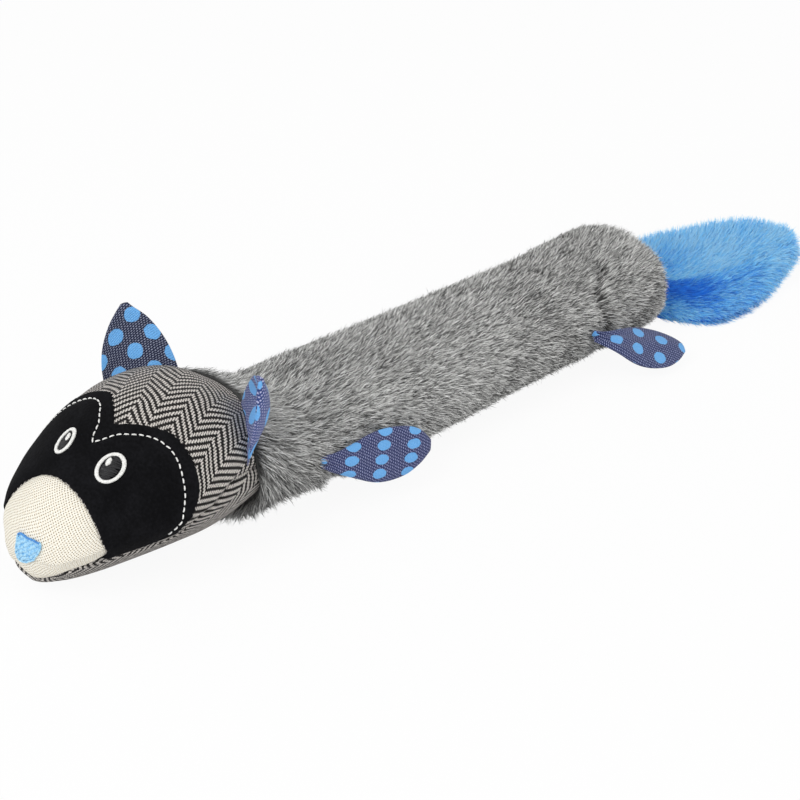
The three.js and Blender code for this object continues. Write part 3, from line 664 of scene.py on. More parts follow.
# Threads at guide points, each as long as its point's reach and lying on the cloth
def threadTree():
    tree = GrowTree("layThreads", {
        "Thickness": "Float", "Scatter": "Float", "Seed": "Int", "Thread": "Object", "Finish": "Material"})
    given, reach = tree.given, tree.direction("reach")
    length = tree.node("ShaderNodeVectorMath", {"operation": "LENGTH"}, {0: reach}).out("Value")
    stray = tree.scaled(tree.anyWay(given.out("Seed")), length * given.out("Scatter"))
    size = tree.combined(length, given.out("Thickness"), given.out("Thickness"))
    points = tree.node("GeometryNodeMeshToPoints", {}, {"Mesh": given.out("Geometry")}).out()
    return tree.close(tree.planted(
        points, "Thread", "XZ", tree.vectorMaths("ADD", reach, stray), tree.direction("out"), size))


# Runs a tree on a piece and keeps the result as the piece's plain mesh
def grow(piece, tree, settings):
    modifier = piece.modifiers.new("grow", "NODES")
    modifier.node_group = tree
    for item in tree.interface.items_tree:
        if item.in_out == "INPUT" and item.name in settings:
            modifier[item.identifier] = settings[item.name]
    bpy.context.view_layer.update()
    evaluated = piece.evaluated_get(bpy.context.evaluated_depsgraph_get())
    mesh = bpy.data.meshes.new_from_object(evaluated)
    piece.modifiers.clear()
    piece.data = mesh
    for label in ("pile", "comb", "out", "tone", "lengthen", "shade", "height", "reach"):
        if label in mesh.attributes:
            mesh.attributes.remove(mesh.attributes[label])
    return piece


# One strand of pile, one unit long: a narrow tapered blade that bends toward +X
def strandShape():
    bend = [(0, 0.0, 1.0), (0.4, 0.05, 0.92), (0.75, 0.17, 0.62)]
    points = [(x, side * width / 2, z) for z, x, width in bend for side in (-1, 1)] + [(0.31, 0, 0.97)]
    mesh = bpy.data.meshes.new("strandShape")
    mesh.from_pydata(points, [], [(0, 1, 3, 2), (2, 3, 5, 4), (4, 5, 6)])
    height = mesh.attributes.new("height", "FLOAT", "POINT")
    height.data.foreach_set("value", np.array([0.02, 0.02, 0.4, 0.4, 0.75, 0.75, 0.98], np.float32))
    mesh.polygons.foreach_set("use_smooth", [True] * 3)
    return mesh


# One stitch of thread, one unit long and thick: a tube that dips into the cloth at both ends
def threadShape():
    sides, rings = 6, [(-0.5, -0.55, 0.3), (-0.38, 0.05, 0.8), (0, 0.2, 1.0), (0.38, 0.05, 0.8), (0.5, -0.55, 0.3)]
    spokes = np.arange(sides) / sides * 2 * math.pi
    points = [(x, math.cos(t) * r / 2, z + math.sin(t) * r / 2) for x, z, r in rings for t in spokes]
    faces = [(k * sides + n, (k + 1) * sides + n, (k + 1) * sides + (n + 1) % sides, k * sides + (n + 1) % sides)
             for k in range(len(rings) - 1) for n in range(sides)]
    faces += [tuple(range(sides)), tuple(reversed(range((len(rings) - 1) * sides, len(rings) * sides)))]
    mesh = bpy.data.meshes.new("threadShape")
    mesh.from_pydata(points, [], faces)
    mesh.polygons.foreach_set("use_smooth", [True] * len(faces))
    return mesh


strand = linked("strandShape", strandShape())
thread = linked("threadShape", threadShape())
growPile, layThreads = pileTree(), threadTree()


# Guide points in millimetres with their reach and outward directions, grown into threads
def threads(name, points, reach, out, thickness, finish, seed=1, scatter=0.06):
    guide = makePiece(name, points.reshape(-1, 3), [], None, {
        "reach": reach.reshape(-1, 3) / 1000, "out": out.reshape(-1, 3)})
    return grow(guide, layThreads, {
        "Thickness": thickness / 1000, "Scatter": scatter, "Seed": seed, "Thread": thread, "Finish": finish})


# A shell with pile on its outer grid, whose out, comb, tone and length go by point
def pileShell(name, grids, out, comb, tone, lengthen, pile, finish, seed, dense=1, roundWay=True):
    values = {"pile": np.ones(tone.size), "comb": comb.reshape(-1, 3), "out": out.reshape(-1, 3),
              "tone": tone.ravel(), "lengthen": (lengthen + 0 * tone).ravel()}
    piece = clothShell(name, *grids, None, roundWay, values)
    return grow(piece, growPile, {
        **pile, "Density": pile["Density"] * dense, "Seed": seed, "Strand": strand, "Finish": finish})


def join(name, pieces):
    with bpy.context.temp_override(active_object=pieces[0], selected_editable_objects=pieces):
        bpy.ops.object.join()
    pieces[0].name = pieces[0].data.name = name
    return pieces[0]


def fixed(piece, body, nodes, finish=None):
    if finish is not None:
        piece.data.materials.clear()
        piece.data.materials.append(finish)
    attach(piece, body)
    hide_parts(*nodes)


# Head panels, in millimetres over the head's surface. A ripple has a reach, a size and a seed.
head = {"tweed": 1.2, "seamDip": (0.85, 1.6), "maskLift": 0.75, "maskSink": 0.1, "puff": -0.3, "snoutBack": 0.13,
        "groove": 0.38, "ripple": (0.3, 30, 9), "snoutRipple": (0.15, 22, 4), "maskRipple": (0.12, 16, 21)}
gapAlong = 0.3 / toy["headLength"]
maskTop = head["puff"] + head["maskLift"] + head["maskSink"]


# How far a panel's surface sinks near its edges, for distances in millimetres
def seamDip(distance, depth=head["seamDip"][0], width=head["seamDip"][1]):
    return depth * bell(distance, 0, width)


def facePanel(name, chart, lift, under, cloth, node, finish, roundWay=False):
    piece = clothShell(name, facePoint(*chart, lift), facePoint(*chart, under), cloth, roundWay)
    fixed(piece, "head", [node], finish)


# The snout panel's back edge reaches further under the far side, as the photograph shows
def snoutBack(degrees):
    turned = np.mod(degrees + 180, 360) - 180
    reach = np.clip((-turned - 90) / 90, 0, 1)
    return mirrored(snoutEdge, turned) + head["snoutBack"] * np.sin(reach * math.pi) ** 2


def makeSnout():
    rows, columns, tip = 34, 121, 0.02
    degrees, share = np.linspace(-180, 180, columns), shares(rows)
    edge = snoutBack(degrees)[None] + gapAlong
    along = share * edge
    flat = facePoint(along, degrees)
    ripple = wander(flat, *head["snoutRipple"]) * (share > tip)
    lift = head["puff"] - seamDip(lengthAt(edge) - lengthAt(along)) + ripple
    lift = np.where(share < tip, head["puff"], lift)
    radius = arcLengths(flat, columns // 2, 0)[..., 1]
    cloth = np.stack([radius * np.sin(np.radians(degrees)), radius * np.cos(np.radians(degrees))], -1)
    facePanel("snoutPanel", (along, degrees), lift, lift - head["tweed"], cloth, "snout_panel",
              creamCanvas, True)


# How far each place of a map is from the map's sides
def toSides(flatMap):
    across = flatMap[..., 0]
    return np.minimum(across - across[:, :1], across[:, -1:] - across)


# A tweed panel between two seams, from behind the snout to the neck
def makeTweed(name, columns, leftSeam, rightSeam, finish, node):
    rows, easing = 64, 6
    column = columns[None]
    start = snoutBack(column)
    along = start + (1 - start) * shares(rows)
    left, right = leftSeam(along), rightSeam(along)
    degrees = left + (right - left) * (column - columns[0]) / (columns[-1] - columns[0])
    flat = facePoint(along, degrees)
    flatMap = arcLengths(flat, len(columns) // 2, rows - 1)
    toSeam, toSnout = toSides(flatMap), flatMap[..., 1] - flatMap[:1, :, 1]
    lift = head["puff"] - seamDip(toSeam) - seamDip(toSnout)
    lift = lift + wander(flat, *head["ripple"]) * smoothly(0, easing, toSeam) * smoothly(0, easing, toSnout)
    facePanel(name, (along, degrees), lift, lift - head["tweed"], flatMap, node, finish)


def seamAt(along):
    return curveAt(chinSeam, along)[..., 0]


def makeMask():
    rows, columns, side, roll, thickness = 46, 181, 92, 1.3, 0.35
    degrees = np.linspace(-side, side, columns)[None]
    front = mirrored(snoutEdge, degrees) + 1.5 * gapAlong
    back = mirrored(maskEdge, degrees)
    back = back + 0.002 * np.sin(degrees * 1.7) + 0.0015 * np.sin(degrees * 4.3 + 1)
    along = front + (back - front) * shares(rows)
    flat = facePoint(along, degrees)
    toBack, toFront = lengthAt(back) - lengthAt(along), lengthAt(along) - lengthAt(front)
    flatMap = arcLengths(flat, columns // 2, 0)
    edge = rounded(1 - np.clip(np.minimum(toBack, toSides(flatMap)) / roll, 0, 1), 2)
    stitch = mirrored(stitchLine, np.clip(degrees, -90, 90))
    groove = head["groove"] * bell(lengthAt(along), lengthAt(stitch), 0.9) * (np.abs(degrees) < 90.5)
    lift = head["puff"] + head["maskSink"] + head["maskLift"] * edge - groove - seamDip(toFront, 1.0, roll)
    lift = lift + wander(flat, *head["maskRipple"]) * edge
    facePanel("maskApplique", (along, degrees), lift, np.minimum(lift - thickness, 0.0) - 0.3, flatMap,
              "mask_applique", blackSuede)


# White running stitch in the mask's groove
def makeStitching():
    stitching = {"pitch": 2.7, "length": 2.0, "thickness": 0.66, "rise": 0.25, "end": 86, "step": 0.3}

    def line(degrees):
        return facePoint(mirrored(stitchLine, degrees), degrees)

    fine = np.linspace(-stitching["end"], stitching["end"], 1601)
    arc = np.concatenate([[0], np.cumsum(np.linalg.norm(np.diff(line(fine), axis=0), axis=1))])
    degrees = np.interp(np.arange(stitching["pitch"] / 2, arc[-1], stitching["pitch"]), arc, fine)
    place = mirrored(stitchLine, degrees), degrees
    reach = unit(line(degrees + stitching["step"]) - line(degrees - stitching["step"])) * stitching["length"]
    piece = threads("maskStitching", facePoint(*place, maskTop - head["groove"] + stitching["rise"]), reach,
                    faceNormal(*place), stitching["thickness"], whiteThread, 3, 0.12)
    fixed(piece, "head", ["mask_stitching"])


eye = {"ring": 1.4, "degreesPerMm": 1 / math.radians(1) / 36, "alongPerMm": 1 / 108, "glint": (1.0, 1.6),
       "thread": 0.66, "glintThread": 0.55, "scatter": 0.14, "slant": 0.15, "overlap": 1.08, "ringStitches": 78,
       "pupilRows": 15, "glintRows": 8, "ringLift": 0.42, "pupilLift": 0.28, "glintLift": 0.75, "ringPadding": 0.35,
       "pupilPadding": 0.25}
eyePlaces = {
    "left": {"side": 1, "degrees": 21, "along": 0.48, "width": 9.9, "height": 12.8, "tilt": 0.37,
             "glint": (-1.6, 2.0)},
    "right": {"side": -1, "degrees": 17.4, "along": 0.482, "width": 7.8, "height": 12.2, "tilt": -0.42,
              "glint": (-0.9, 1.4)},
}


# Places on the face about an eye's middle, in millimetres across and up on the eye's own tilt
def eyeChart(place, across, up):
    cosine, sine = math.cos(place["tilt"]), math.sin(place["tilt"])
    return (place["along"] + (across * sine + up * cosine) * eye["alongPerMm"],
            place["side"] * (place["degrees"] + (across * cosine - up * sine) * eye["degreesPerMm"]))


# A low dome or ring of padding under the threads
def eyeBase(name, place, innerShare, outerShare, height, finish):
    turn, out = turns(49), shares(7)
    share = innerShare + (outerShare - innerShare) * out
    across = share * place["width"] / 2 * np.cos(turn)
    up = share * place["height"] / 2 * np.sin(turn)
    bulge = np.sin(out * math.pi) if innerShare > 0 else np.cos(out * math.pi / 2)
    spot = eyeChart(place, across, up)
    outer = facePoint(*spot, maskTop - 0.1 + height * bulge + 0 * turn)
    inner = facePoint(*spot, np.full_like(across, maskTop - 0.5))
    piece = clothShell(name, outer, inner, None, roundWay=True)
    piece.data.materials.append(finish)
    return piece


def satin(name, place, across, up, reachAcross, reachUp, lift, thickness, finish, seed):
    start = facePoint(*eyeChart(place, across - reachAcross, up - reachUp))
    end = facePoint(*eyeChart(place, across + reachAcross, up + reachUp))
    spot = eyeChart(place, across, up)
    return threads(name, facePoint(*spot, np.full_like(across, lift)), end - start, faceNormal(*spot), thickness,
                   finish, seed, eye["scatter"])


def makeEye(name, place):
    half = np.array([place["width"] / 2, place["height"] / 2])
    ringInner = 1 - eye["ring"] / half[0]
    turn = np.arange(0, 2 * math.pi, 2 * math.pi / eye["ringStitches"])
    normalAcross, normalUp = np.cos(turn) * half[1], np.sin(turn) * half[0]
    length = np.hypot(normalAcross, normalUp) / (eye["ring"] / 2 * eye["overlap"])
    across = np.cos(turn) * (half[0] - eye["ring"] / 2)
    up = np.sin(turn) * (half[1] - eye["ring"] / 2)
    ring = satin(f"eyeRingThreads_{name}", place, across, up, normalAcross / length + eye["slant"] * np.sin(turn),
                 normalUp / length - eye["slant"] * np.cos(turn), maskTop + eye["ringLift"], eye["thread"],
                 whiteThread, 5)
    base = eyeBase(f"eyeRing_{name}", place, ringInner + 0.03, 0.97, eye["ringPadding"], whiteThread)
    fixed(join(f"eyeRing_{name}", [base, ring]), "head", [f"eye_ring_{name}"])
    rows = np.linspace(-1, 1, eye["pupilRows"]) * (half[1] - eye["ring"]) * 0.96
    reach = (half[0] - eye["ring"]) * np.sqrt(np.clip(1 - (rows / (half[1] - eye["ring"])) ** 2, 0.05, 1))
    pupil = satin(f"eyePupilThreads_{name}", place, rows * 0, rows, reach, rows * 0 + 0.1, maskTop + eye["pupilLift"],
                  eye["thread"], blackThread, 7)
    base = eyeBase(f"eyePupil_{name}", place, 0, ringInner - 0.02, eye["pupilPadding"], blackThread)
    fixed(join(f"eyePupil_{name}", [base, pupil]), "head", [f"eye_pupil_{name}"])
    width, height = eye["glint"]
    rows = np.linspace(-1, 1, eye["glintRows"]) * height * 0.9
    reach = width * np.sqrt(np.clip(1 - (rows / height) ** 2, 0.1, 1))
    glint = satin(f"eyeGlintThreads_{name}", place, rows * 0 + place["glint"][0], rows + place["glint"][1], reach,
                  rows * 0, maskTop + eye["glintLift"], eye["glintThread"], whiteThread, 9)
    fixed(glint, "head", [f"eye_glint_{name}"])


nose = {"size": 13.5, "chart": (0.0511, 0.0301), "perMm": 1 / 117, "rowStep": 0.62, "stitch": 2.2, "shrink": 0.97,
        "padding": (0.25, 0.35), "sunk": -0.2, "spread": 0.62, "margin": 0.9, "lift": 0.55, "overlap": 1.02,
        "edgeStitches": 58, "edgeInset": 0.35, "edgeReach": 0.75, "upperFrom": 0.62}
# The nose's outline as the photograph shows it: degrees round from its top, then millimetres from its middle
noseOutline = [
    (-180, 8.35), (-161, 9.5), (-147, 9.8), (-131, 8.5), (-117, 6.7), (-95, 5.5), (-75, 5.4), (-52, 6.2), (-35, 6.4),
    (-18, 5.9), (6, 5.4), (26, 6.25), (43, 7.7), (55, 9.2), (64, 8.5), (80, 6.9), (112, 5.2), (140, 5.9), (167, 7.3),
    (180, 8.35)]


def noseEdge(turn):
    return curveAt(noseOutline, np.mod(np.degrees(turn) + 180, 360) - 180)[..., 0]


# The nose's own flat places in millimetres, on the head's tip
def noseChart(across, up):
    p, q = nose["chart"][0] + across * nose["perMm"], nose["chart"][1] + up * nose["perMm"]
    return np.hypot(p, q), np.arctan2(p, q)


# Fill stitching in staggered rows over a low base, with a darker cord of stitches round the edge
def makeNose():
    turn, out = turns(61), shares(8)
    radius = out * noseEdge(turn) * nose["shrink"]
    place = noseChart(radius * np.sin(turn), radius * np.cos(turn))
    rim, dome = nose["padding"]
    top = head["puff"] + rim + dome * rounded(out, 4) + 0 * turn
    under = np.full_like(top, nose["sunk"])
    base = clothShell("noseEmbroidery", headPoint(*place, top), headPoint(*place, under), None, roundWay=True)
    base.data.materials.append(noseThread)
    spots = []
    reach = nose["size"] * nose["spread"]
    for row, across in enumerate(np.arange(-reach, reach, nose["rowStep"])):
        for up in np.arange(-reach, reach, nose["stitch"]) + (row % 4) * nose["stitch"] / 4:
            if math.hypot(across, up) < noseEdge(math.atan2(across, up)) - nose["margin"]:
                spots.append((across, up))
    across, up = np.array(spots).T
    lift = head["puff"] + nose["lift"]

    def laid(name, across, up, stepAcross, stepUp, thickness, finish, seed, height):
        start = headPoint(*noseChart(across - stepAcross, up - stepUp))
        end = headPoint(*noseChart(across + stepAcross, up + stepUp))
        place = noseChart(across, up)
        return threads(name, headPoint(*place, height), end - start, headNormal(*place), thickness, finish, seed)

    half = nose["stitch"] / 2 * nose["overlap"]
    fill = laid("noseFill", across, up, across * 0, across * 0 + half, 0.7, noseThread, 11, lift)
    around, step = np.arange(0, 2 * math.pi, 2 * math.pi / nose["edgeStitches"]), 0.05

    def edgeAt(turn, inset=0.0):
        return np.stack([(noseEdge(turn) - inset) * np.sin(turn), (noseEdge(turn) - inset) * np.cos(turn)])

    x, y = edgeAt(around, nose["edgeInset"])
    along = edgeAt(around + step) - edgeAt(around)
    dx, dy = along / np.hypot(*along) * nose["edgeReach"]
    upper = np.cos(around - step) > nose["upperFrom"]
    edges = [laid(f"nose{title}", x[part], y[part], dx[part], dy[part], thickness, finish, seed, height)
             for title, part, thickness, finish, seed, height in (
                 ("UpperEdge", upper, 0.9, noseEdgeThread, 13, lift + 0.1),
                 ("LowerEdge", ~upper, 0.8, noseThread, 15, lift))]
    fixed(join("noseEmbroidery", [base, fill, *edges]), "head", ["nose_embroidery"])


makeSnout()
makeTweed("crownPanel", np.linspace(-96, 96, 111), lambda along: -seamAt(along), seamAt, crownTweed, "crown_panel")
makeTweed("chinPanel", np.linspace(96.5, 263.5, 91), lambda along: seamAt(along) + 0.3,
          lambda along: 359.7 - seamAt(along), chinTweed, "chin_panel")
makeMask()
makeStitching()
for sideName, place in eyePlaces.items():
    makeEye(sideName, place)
makeNose()
print("head ready")


# Denim leaves: ears and legs
def frameOf(origin, out, across):
    outward = unit(np.array(out, float))
    sideways = unit(across - outward * np.dot(across, outward))
    return origin, outward, sideways, unit(np.cross(outward, sideways))


earOutline = [(0, -0.98, 0.98), (0.25, -0.87, 0.98), (0.5, -0.68, 0.88), (0.75, -0.38, 0.64), (0.92, -0.06, 0.38),
              (1, 0.06, 0.24)]
legOutline = [(0, -0.3, 0.16), (0.12, -0.55, 0.2), (0.25, -0.78, 0.38), (0.5, -1.15, 0.76), (0.75, -1.08, 0.8),
              (0.9, -0.74, 0.58), (1, -0.28, 0.14)]


# One cloth of a sewn leaf. Its edge rolls in to the seam, and wrinkles run out from the gathered root.
def leafPanel(name, base, shape, outline, leaf, side):
    _, outward, _, facing = shape
    rows, columns, seam, rootShare, rootThickness = 41, 41, 0.06, 0.35, 0.35
    place = 1 - (1 - shares(rows)) ** 1.4
    column = (1 - np.cos(np.linspace(0, math.pi, columns)))[None] / 2
    across = column * 2 - 1
    low, high = np.moveaxis(curveAt(outline, place[:, 0]), -1, 0)
    spot = low[:, None] + (high - low)[:, None] * column
    rounding = rounded(np.abs(across), 3.2) * rounded(place, 14)
    cup = leaf["cup"] * (1 - across ** 2) * np.sin(math.pi * np.minimum(place, 0.9))
    wrinkles = leaf["wrinkle"] * np.cos(across * 9 + leaf["seed"]) * np.exp(-place * 3.2)
    flat = base(spot) + outward * (place * leaf["length"])[..., None]
    thick = leaf["half"] * rounding * (rootThickness + (1 - rootThickness) * smoothly(0, rootShare, place))
    sway = wander(flat, leaf["sway"], 26, leaf["seed"]) * smoothly(0, 0.4, place)

    def surface(height):
        return flat + facing * (height + cup + wrinkles + sway)[..., None]

    outer, inner = surface(side * (seam + thick)), surface(side * seam + 0 * thick)
    middle = columns // 2
    across = arcLengths(outer, middle, 0)[..., 0] + spot[:, middle:middle + 1] * leaf["width"] / 2
    return clothShell(name, outer, inner, np.stack([across, place * leaf["length"] + 0 * spot], -1))


ear = {"height": 26.3, "half": 1.5, "lift": -0.8, "lean": (0.22, 0.08, 0.96)}
# The ears are one denim; the near left ear's colours are painted lighter as light and the far right ear's darker as
# shade
earPlaces = {
    "left": {
        "inner": (0.985, 25), "outer": (0.9, 74), "side": 1, "cup": 4.6,
        "look": {"turn": 8, "dark": "#31447f", "pale": "#c6c8ea", "dotTurn": 45, "dotPlace": (-1.2, 20.5),
                 "dotPitch": (10.4, 10.4), "dotRadius": 3.1, "squeeze": 1.0}},
    "right": {
        "inner": (0.905, -10), "outer": (0.745, -38), "side": -1, "cup": 2.5,
        "look": {"turn": 32, "dark": "#0c1738", "pale": "#a0a6bc", "dotTurn": 42, "dotPlace": (-0.2, 21.3),
                 "dotPitch": (10.2, 10.2), "dotRadius": 3.15, "squeeze": 1.0}},
}


def makeEar(name, place):
    inner, outer, side = place["inner"], place["outer"], place["side"]

    def base(across):
        share = (across + 1) / 2
        return headPoint(inner[0] + (outer[0] - inner[0]) * share,
                         np.radians(inner[1] + (outer[1] - inner[1]) * share), ear["lift"] * (1 + 0.3 * across ** 2))

    ends = base(np.array([-1.0, 0.0, 1.0]))
    lean = np.array(ear["lean"]) * (side, 1, 1)
    shape = frameOf(ends[1], lean, ends[2] - ends[0])
    width = np.linalg.norm(ends[2] - ends[0])
    leaf = {"length": ear["height"], "width": width, "cup": place["cup"] * side, "half": ear["half"],
            "wrinkle": 0.35, "sway": 0.3, "seed": 3 + side}
    finish = denimFinish(f"earDenim_{name}", place["look"])
    for panel, facing in (("front", -side), ("back", side)):
        piece = leafPanel(f"ear{panel.title()}_{name}", base, shape, earOutline, leaf, facing)
        fixed(piece, f"ear_{name}", [f"ear_{panel}_panel_{name}"], finish)


leg = {"width": 22, "half": 1.9}
legPlaces = {
    "front": {
        "y": neckY + toy["bodyLength"] * 0.09, "degrees": 80, "out": (0.13, 0.975, -0.17), "up": (-0.2, 0.18, 0.96),
        "length": 53.5, "standOff": 1.1, "wrinkle": 0.4, "sway": 0.6,
        "look": {"turn": 2, "dark": "#1d2858", "pale": "#a4aad4", "dotTurn": -8, "dotPlace": (2.6, 29.3),
                 "dotPitch": (9.2, 14.7), "dotRadius": 3.3, "squeeze": 1.6}},
    "rear": {
        "y": neckY + toy["bodyLength"] * 0.75, "degrees": 83, "out": (0.27, 0.88, -0.33), "up": (-0.72, 0.42, 0.45),
        "length": 51, "standOff": 1.4, "wrinkle": 0.9, "sway": 1.5,
        "look": {"turn": 14, "dark": "#1c2957", "pale": "#a4acd6", "dotTurn": -16, "dotPlace": (-5.4, 22.7),
                 "dotPitch": (11.5, 12.4), "dotRadius": 3.2, "squeeze": 1.15}},
}


def makeLeg(which, place, name, side):
    root = bodyPoint(place["y"], math.radians(place["degrees"]) * side) + (place["standOff"] * side, 0, 0)
    shape = frameOf(root, np.array(place["out"]) * (side, 1, 1), np.array(place["up"]) * (side, 1, 1))

    def base(across):
        return root + shape[2] * (np.asarray(across) * leg["width"] / 2)[..., None]

    leaf = {"length": place["length"], "width": leg["width"], "cup": 0.0, "half": leg["half"],
            "wrinkle": place["wrinkle"], "sway": place["sway"], "seed": 11 + side}
    finish = denimFinish(f"legDenim_{which}_{name}", place["look"])
    for panel, facing in (("upper", -side), ("lower", side)):
        title = f"leg{which.title()}{panel.title()}_{name}"
        piece = leafPanel(title, base, shape, legOutline, leaf, facing)
        fixed(piece, f"leg_{which}_{name}", [f"leg_{which}_{name}_{panel}_panel"], finish)


for sideName, place in earPlaces.items():
    makeEar(sideName, place)
for which, place in legPlaces.items():
    for sideName, sideSign in (("left", 1), ("right", -1)):
        makeLeg(which, place, sideName, sideSign)
print("ears and legs ready")

# The grey fur tube
fur = {"pile": {"Density": 5.2e6, "Length": 0.0052, "Width": 0.00028, "Scatter": 0.3, "Clump Size": 0.0024,
                "Clump": 0.24, "Tone Spread": 0.76},
       "inset": 1.9, "wall": 0.8, "lift": 0.42, "down": 0.35, "columns": 97, "rowStep": 2.5,
       "creaseY": 74, "creaseStep": 16, "creaseDepth": 2.8, "creaseWidth": 3.4,
       "hollow": 4.6, "rearTop": 2.0, "capShrink": 0.86, "capRise": 3.2, "tone": 0.55, "topPaintedLight": 0.1,
       "patches": ((0.1, 60, 31), (0.07, 18, 33)), "creasePaintedShade": 0.32, "hollowPaintedShade": 0.15, "nearLength": 0.35,
       "nearLift": 0.12, "uneven": (0.06, 12, 35)}
neck = {"rows": 9, "rise": 1.5, "ruff": 0.5, "lap": 0.012, "overlap": 0.055, "lapLift": 0.9, "tuft": 3.0,
        "shade": 0.05, "lowPaintedShade": 0.25, "topPaintedLight": 0.15, "length": 1.15, "lowLength": 0.3, "uneven": (0.12, 14, 37),
        "lift": (0.9, 0.4), "flatter": 0.45, "forward": (1.3, 0.9)}
frontStartY = neckY + 23
waistStartY = frontStartY + (toy["bodyLength"] - 73) * 0.575
waistEndY = waistStartY + 50
pivotY = {"neck": neckY + 11.5, "waist": (waistStartY + waistEndY) / 2, "tail": bodyRearY - 1.5}


# The crease that the photograph shows across the side, ahead of the rear end
def crease(y, angle):
    middle = fur["creaseY"] + fur["creaseStep"] * turning(52, 18, angle)
    return bell(y, middle, fur["creaseWidth"]) * turning(4, 24, angle) * turning(175, 120, angle)


# The slack underside behind the neck, drawn up on the near side
def hollow(y, angle):
    reach = smoothly(2, 14, y - neckY) * smoothly(50, 38, y - neckY)
    return reach * turning(98, 126, angle) * turning(230, 200, angle)


def furSkin(y, angle, inset):
    deeper = crease(y, angle) * fur["creaseDepth"] + hollow(y, angle) * fur["hollow"]
    rearTop = fur["rearTop"] * smoothly(bodyRearY - 38, bodyRearY - 16, y) * smoothly(0.6, 0.95, np.cos(angle))
    return bodyPoint(y, angle, inset + deeper + rearTop)


# A skin's two ways and its outward direction, from its grid
def waysOf(points):
    rear, turn = unit(np.gradient(points, axis=0)), unit(np.gradient(points, axis=1))
    return rear, turn, unit(np.cross(turn, rear))


# Fur that lies rearward and a little down the sides, raised by its lift
def furSection(name, points, inner, tone, lengthen, lift, seed, dense=1, rearWay=1.0):
    angle = turns(points.shape[1])
    rear, turn, out = waysOf(points)
    lie = unit(rear * (rearWay + 0 * angle)[..., None] + turn * (fur["down"] * np.sin(angle))[..., None])
    comb = unit(lie + out * lift[..., None])
    return pileShell(name, (points, inner), out, comb, tone, lengthen, fur["pile"], greyPile, seed, dense)


# Tone painted lighter on top and darker underneath as light from above, with random patches over it
def furTone(points, angle):
    return patchy(fur["tone"] + fur["topPaintedLight"] * np.cos(angle), points, fur["patches"])


def bodySection(name, fromY, toY, seed, cap=False):
    rows = max(int((toY - fromY) / fur["rowStep"]), 4)
    y = np.linspace(fromY, toY, rows + 1)[:, None]
    angle = turns(fur["columns"])
    grids = []
    for inset in (fur["inset"], fur["inset"] + fur["wall"]):
        points = furSkin(y, angle, inset)
        grids.append(capped(points, inset) if cap else points)
    points, inner = grids
    y = np.concatenate([y, np.full((len(points) - len(y), 1), toY)])
    # The crease and the slack hollow are painted darker as shade, as well as sinking the skin
    tone = furTone(points, angle) - fur["creasePaintedShade"] * crease(y, angle) - fur["hollowPaintedShade"] * hollow(y, angle)
    near = smoothly(neckY + 60, neckY + 20, y) * turning(110, 50, angle)
    lengthen = 1 + fur["nearLength"] * near + wander(points, *fur["uneven"])
    return furSection(name, points, inner, tone, lengthen, fur["lift"] + fur["nearLift"] * near, seed)


# Closes the tube's rear end as a low dome round the tail's root
def capped(points, inset):
    ring = points[-1]
    centre = np.array([sideStep(bodyRearY), bodyRearY - inset, toy["bodyHeight"] * 0.4])
    extra = []
    for step in np.linspace(0, 1, 9)[1:]:
        drawn = centre + (ring - centre) * (1 - fur["capShrink"] * step)
        drawn[:, 1] = ring[:, 1] + fur["capRise"] * math.sin(step * math.pi / 2)
        extra.append(drawn)
    return np.concatenate([points, np.array(extra)])


# The neck: from the head's back edge to the tube, split at the neck's pivot. Its front laps over the head's edge,
# most of all behind the near ear, with the pile there leaning forward.
def neckSection(name, fromShare, toShare, seed):
    angle = turns(fur["columns"])
    share = fromShare + (toShare - fromShare) * shares(neck["rows"]) + 0 * angle
    beside, above = bell(angle, math.radians(72), 0.62), smoothly(0.1, 0.8, np.cos(angle))
    tuft = neck["tuft"] * bell(share, 0.22, 0.2) * bell(angle, math.radians(150), 0.5)
    outward = np.stack([np.sin(angle), 0 * angle, np.cos(angle)], -1)
    # The turned face leaves the tweed's back edge short on the far side, so the sleeve reaches forward to it there
    most, less, _ = toy["faceYaw"]
    early = (most - less) * np.maximum(0, -np.sin(angle - math.radians(toy["faceRoll"])))

    def between(inset):
        start = headPoint(1, angle, -inset)
        drawn = start + (furSkin(frontStartY, angle, inset) - start) * share[..., None] + outward * tuft[..., None]
        if np.max(fromShare) > 0:
            return drawn
        back = np.linspace(1, 0, 4)[:-1, None]
        lap = 1 - back * (neck["lap"] + neck["overlap"] * beside + early)
        return np.concatenate([headPoint(lap, angle, neck["lapLift"] - inset), drawn])

    inset = fur["inset"] - neck["rise"]
    points, inner = between(inset), between(inset + fur["wall"])
    share = np.concatenate([0 * points[:len(points) - len(share), :, 0], share])
    below = bell(angle, math.radians(122), 0.5) * (1 - share)
    # The neck's underside near the head is painted darker as shade, and its top lighter as painted light
    tone = furTone(points, angle) - neck["shade"] - neck["lowPaintedShade"] * below + neck["topPaintedLight"] * above
    lengthen = neck["length"] + neck["ruff"] * (1 - share) * (0.6 + 0.4 * beside) + neck["lowLength"] * below
    lengthen = lengthen + wander(points, *neck["uneven"])
    (steep, easing), (forward, backward) = neck["lift"], neck["forward"]
    lift = (steep - easing * share) * (1 - neck["flatter"] * above)
    rearWay = 1 - (1 - smoothly(-0.15, 0.45, share)) * (forward - backward * above)
    return furSection(name, points, inner, tone, lengthen, lift, seed, 0.95, rearWay)


def bent(piece, node):
    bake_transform(piece)
    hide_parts(node)


